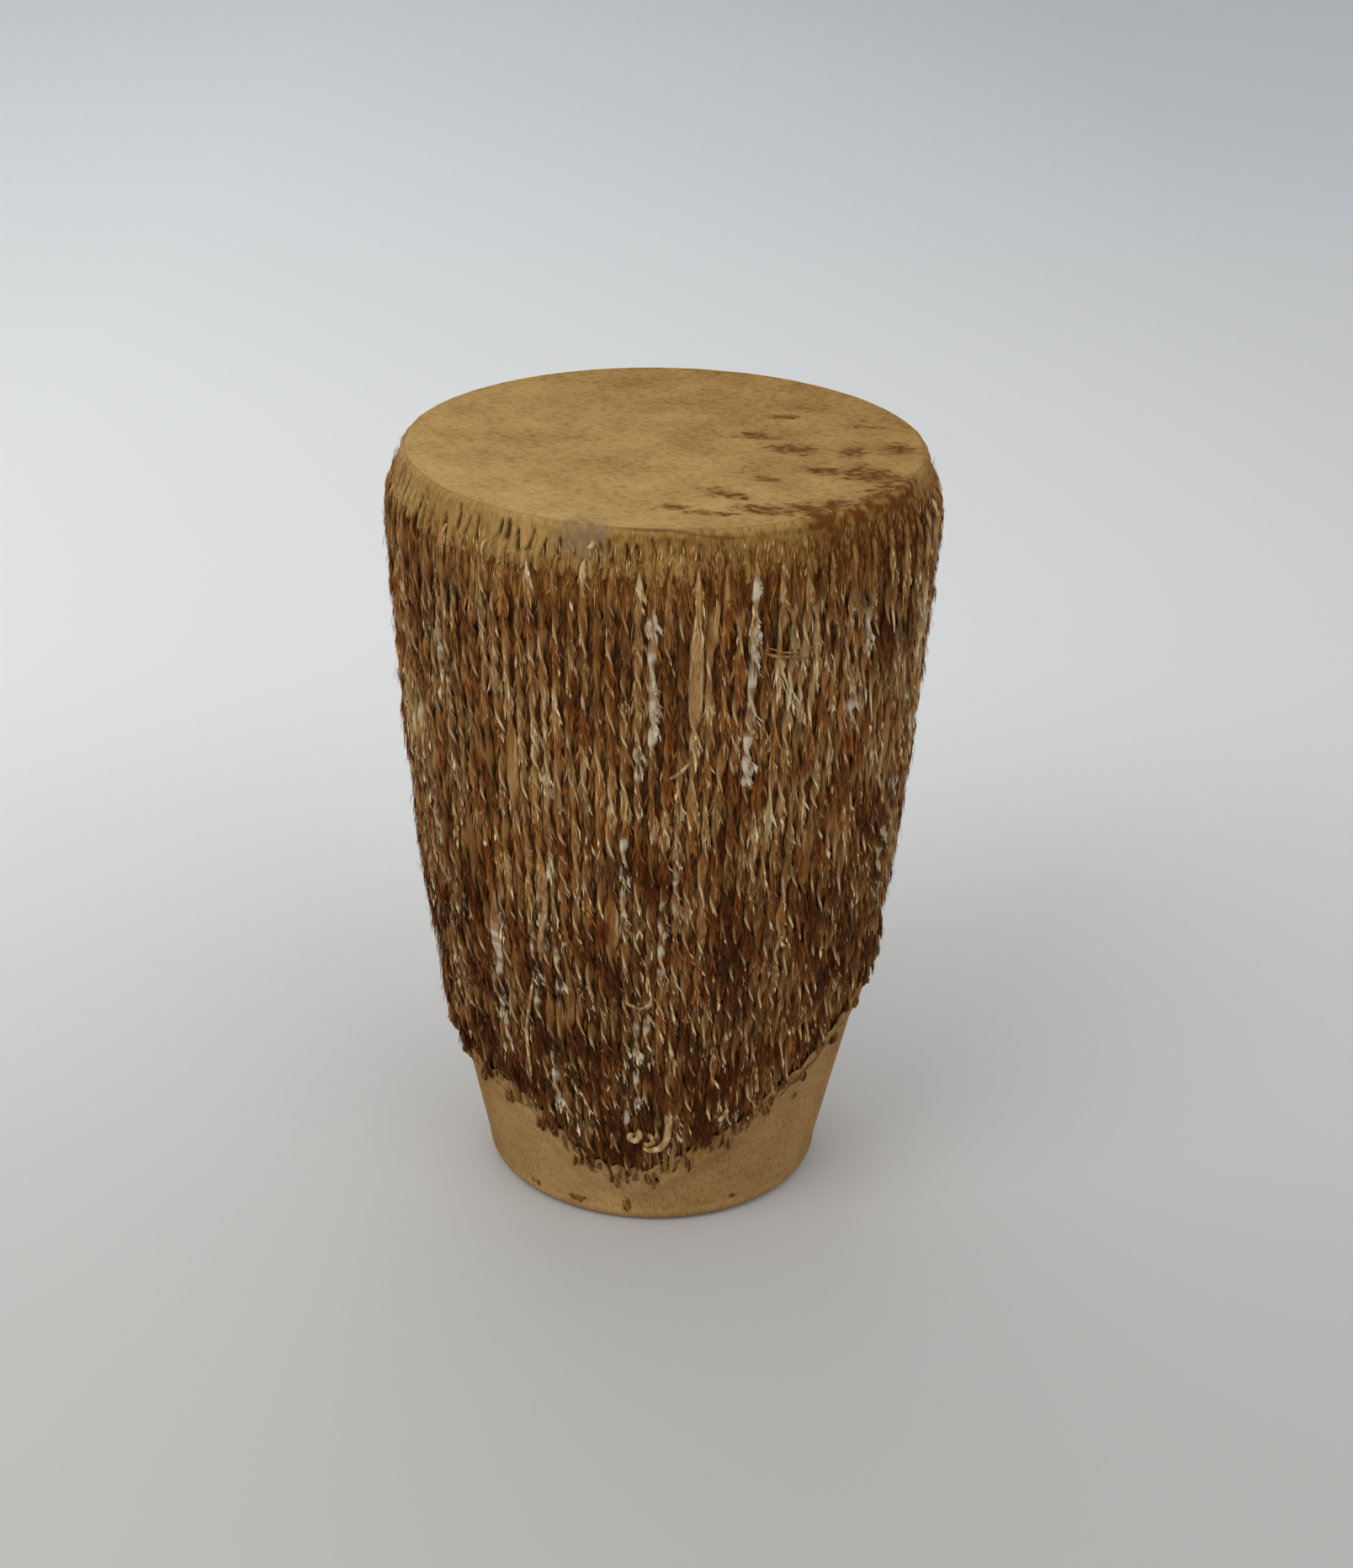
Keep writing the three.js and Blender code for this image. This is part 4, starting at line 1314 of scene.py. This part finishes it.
class DRUM_OT_loose_ends(bpy.types.Operator):
    """Makes the curled ends of thongs above the foot, a tie across two runs and a few loose strands"""

    bl_idname = "drum.loose_ends"
    bl_label = "Loose ends"

    def execute(self, context):
        points, along, pale = np.empty((0, 3)), [], []
        faces = []
        for half_width, half_thickness, paleness, places in LOOSE_ENDS:
            _, route = sampled(np.array([(math.radians(at), *rest) for at, *rest in places]), 0.5)
            more_points, more_faces, more_along = strand(route, half_width, half_thickness)
            faces += [[len(points) + corner for corner in face] for face in more_faces]
            points = np.concatenate([points, more_points])
            along = np.concatenate([along, more_along])
            pale = np.concatenate([pale, np.full(len(more_points), paleness)])
        values = {
            "shade": 0.62 + 0.5 * patches(points, 3, 41),
            "warmth": np.full(len(points), 0.3),
            "pale": np.zeros(len(points)),
            "lay": points[:, [0, 2, 1]] * (1, 1, 0) / 1000,
            "cut_edge": pale,
            "bare": 0.35 + 0.4 * along,
        }
        hide = bpy.data.materials["hair_on_rawhide_strip_twisted"]
        piece("loose_thong_ends", points, faces, hide, values)
        return {"FINISHED"}


class DRUM_PG_shell(bpy.types.PropertyGroup):
    wood_light: colour_setting("Wood, light", "Light grain of the shell", "#8A6A45")
    wood_dark: colour_setting("Wood, dark", "Dark grain of the shell", "#4E3620")


class DRUM_OT_shell(bpy.types.Operator):
    """Gives the carved shell its wood"""

    bl_idname = "drum.shell"
    bl_label = "Carved shell"

    def execute(self, context):
        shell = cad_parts["shell"]
        shell.data.materials.clear()
        shell.data.materials.append(carved_wood(context.scene.drum_shell))
        return {"FINISHED"}


class DRUM_PG_stage(bpy.types.PropertyGroup):
    # The floor's colours hold painted light and shade: grey in front, lighter beside the drum and darker
    # towards the right
    floor: colour_setting("Floor", "Colour of the floor in front", "#BCBAB7")
    middle: colour_setting("Floor, middle", "Colour of the floor beside the drum", "#E2E4E4")
    backdrop: colour_setting("Backdrop", "Colour of the floor and the wall behind the drum", "#D0D4D7")
    shade: colour_setting("Floor, shade", "Colour that darkens the floor towards the right", "#59595D")


def studio_paper(colours):
    """Matt paper, which gives the eye a plain floor with painted light and shade: painted shade makes it grey
    in front, painted light makes it lighter beside the drum, and painted shade makes it darker to the right,
    where less light falls."""
    made, tree, shader, _ = material("matt_studio_paper")
    place = add(tree, "SeparateXYZ", {0: add(tree, "TexCoord").outputs["Object"]}).outputs
    # Each row has an axis, where a colour starts and is full along it, its most and its ease
    rows = (
        ("Y", -0.45, 0.7, 1.0, "SMOOTHSTEP", colours.middle),
        ("Y", 0.6, 3.0, 1.0, "SMOOTHSTEP", colours.backdrop),
        ("X", -0.6, 0.7, 0.23, "LINEAR", colours.shade),
    )
    paper = colours.floor
    for axis, start, full, most, ease, colour in rows:
        reach = {"Value": place[axis], "From Min": start, "From Max": full, "To Max": most}
        share = add(tree, "MapRange", reach, interpolation_type=ease)
        paper = add(tree, "Mix", {0: share, 6: paper, 7: colour}, data_type="RGBA")
    connect(tree, shader, {"Base Color": paper, "Roughness": 0.9})
    return made


def studio_sky(backdrop):
    """A white sky that lights the drum, and is itself seen as a plain wall."""
    world = bpy.data.worlds.new("studio")
    world.use_nodes = True
    tree = world.node_tree
    sky = tree.nodes["Background"]
    connect(tree, sky, {"Color": linear("#FFFFFF"), "Strength": SKY_STRENGTH})
    path = add(tree, "LightPath").outputs
    seen = add(tree, "Math", {0: path["Is Camera Ray"], 1: path["Is Glossy Ray"]}, operation="MAXIMUM")
    wall = add(tree, "Background", {"Color": backdrop, "Strength": 1.0})
    connect(tree, tree.nodes["World Output"], {"Surface": add(tree, "MixShader", {0: seen, 1: sky, 2: wall})})
    return world


# The floor's radius in millimetres, far past the picture, and the strength of the sky's light
FLOOR_RADIUS = 6000
SKY_STRENGTH = 0.69

LAMPS = [
    # Name, place and size across in metres, and power in watts
    ("key_lamp", (-1.7, -1.9, 2.3), 2.2, 36),
    ("fill_lamp", (1.5, -2.0, 1.7), 2.2, 14),
    ("back_lamp", (-0.6, 2.6, 2.8), 2.6, 20),
]

# The photo's camera, as fitted to the drum: picture height, focal length and shift to the side in pixels,
# place in metres, and how far it looks down and rolls in degrees
PICTURE_HEIGHT = 1863
FOCAL_LENGTH = 3300
SIDE_SHIFT = 21.6
CAMERA_PLACE = (0, -1.2904, 0.8080)
PITCH = 24.89
ROLL = 1.09


def fitted_camera():
    """A camera that sees the drum as the photo does."""
    camera = bpy.data.objects.new("camera", bpy.data.cameras.new("camera"))
    camera.data.sensor_width = 36
    camera.data.lens = camera.data.sensor_width * FOCAL_LENGTH / PICTURE_HEIGHT
    camera.data.shift_x = SIDE_SHIFT / PICTURE_HEIGHT
    pitch, roll = math.radians(PITCH), math.radians(ROLL)
    right, upward = Vector((1, 0, 0)), Vector((0, math.sin(pitch), math.cos(pitch)))
    x_axis = right * math.cos(roll) + upward * math.sin(roll)
    y_axis = upward * math.cos(roll) - right * math.sin(roll)
    turned = Matrix((x_axis, y_axis, x_axis.cross(y_axis))).transposed()
    camera.matrix_world = Matrix.Translation(CAMERA_PLACE) @ turned.to_4x4()
    return camera


class DRUM_OT_stage(bpy.types.Operator):
    """Lays the floor and sets the lamps, the sky and the camera"""

    bl_idname = "drum.stage"
    bl_label = "Stage"

    def execute(self, context):
        scene = context.scene
        settings = scene.drum_stage
        angle, radius, faces, _ = disc(FLOOR_RADIUS, 500, 72)
        mesh = bpy.data.meshes.new("floor")
        mesh.from_pydata(around(angle, radius, 0) / 1000, [], faces)
        mesh.materials.append(studio_paper(settings))
        floor = bpy.data.objects.new("floor", mesh)
        scene.collection.objects.link(floor)
        scene.world = studio_sky(settings.backdrop)
        for name, place, size, power in LAMPS:
            lamp = bpy.data.lights.new(name, "AREA")
            lamp.shape = "DISK"
            lamp.size = size
            lamp.energy = power
            holder = bpy.data.objects.new(name, lamp)
            holder.location = place
            # Each lamp is aimed at the middle of the drum
            holder.rotation_euler = (Vector((0, 0, 0.2)) - Vector(place)).to_track_quat("-Z", "Y").to_euler()
            scene.collection.objects.link(holder)
        scene.camera = fitted_camera()
        scene.collection.objects.link(scene.camera)
        scene.view_settings.view_transform = "Standard"
        return {"FINISHED"}


class DRUM_PT_panel(bpy.types.Panel):
    bl_label = "Laced hide drum"
    bl_idname = "DRUM_PT_panel"
    bl_space_type = "VIEW_3D"
    bl_region_type = "UI"
    bl_category = "Drum"

    def draw(self, context):
        layout = self.layout
        for operator in OPERATORS:
            layout.operator(operator.bl_idname)
        for name, group in SETTINGS.items():
            box = layout.box()
            for setting in group.__annotations__:
                box.prop(getattr(context.scene, name), setting)


OPERATORS = (
    DRUM_OT_shell,
    DRUM_OT_playing_hide,
    DRUM_OT_base_hide,
    DRUM_OT_lacing,
    DRUM_OT_loose_ends,
    DRUM_OT_skirt_fur,
    DRUM_OT_stage,
)
SETTINGS = {
    "drum_shell": DRUM_PG_shell,
    "drum_hides": DRUM_PG_hides,
    "drum_lacing": DRUM_PG_lacing,
    "drum_stage": DRUM_PG_stage,
}
CLASSES = (*SETTINGS.values(), *OPERATORS, DRUM_PT_panel)


def register():
    for each in CLASSES:
        bpy.utils.register_class(each)
    for name, group in SETTINGS.items():
        setattr(bpy.types.Scene, name, PointerProperty(type=group))


def unregister():
    for name in SETTINGS:
        delattr(bpy.types.Scene, name)
    for each in reversed(CLASSES):
        bpy.utils.unregister_class(each)


def main():
    register()
    bpy.ops.drum.shell()
    bpy.ops.drum.playing_hide()
    bpy.ops.drum.base_hide()
    bpy.ops.drum.lacing()
    bpy.ops.drum.loose_ends()
    bpy.ops.drum.skirt_fur()
    bpy.ops.drum.stage()


if __name__ == "__main__":
    main()
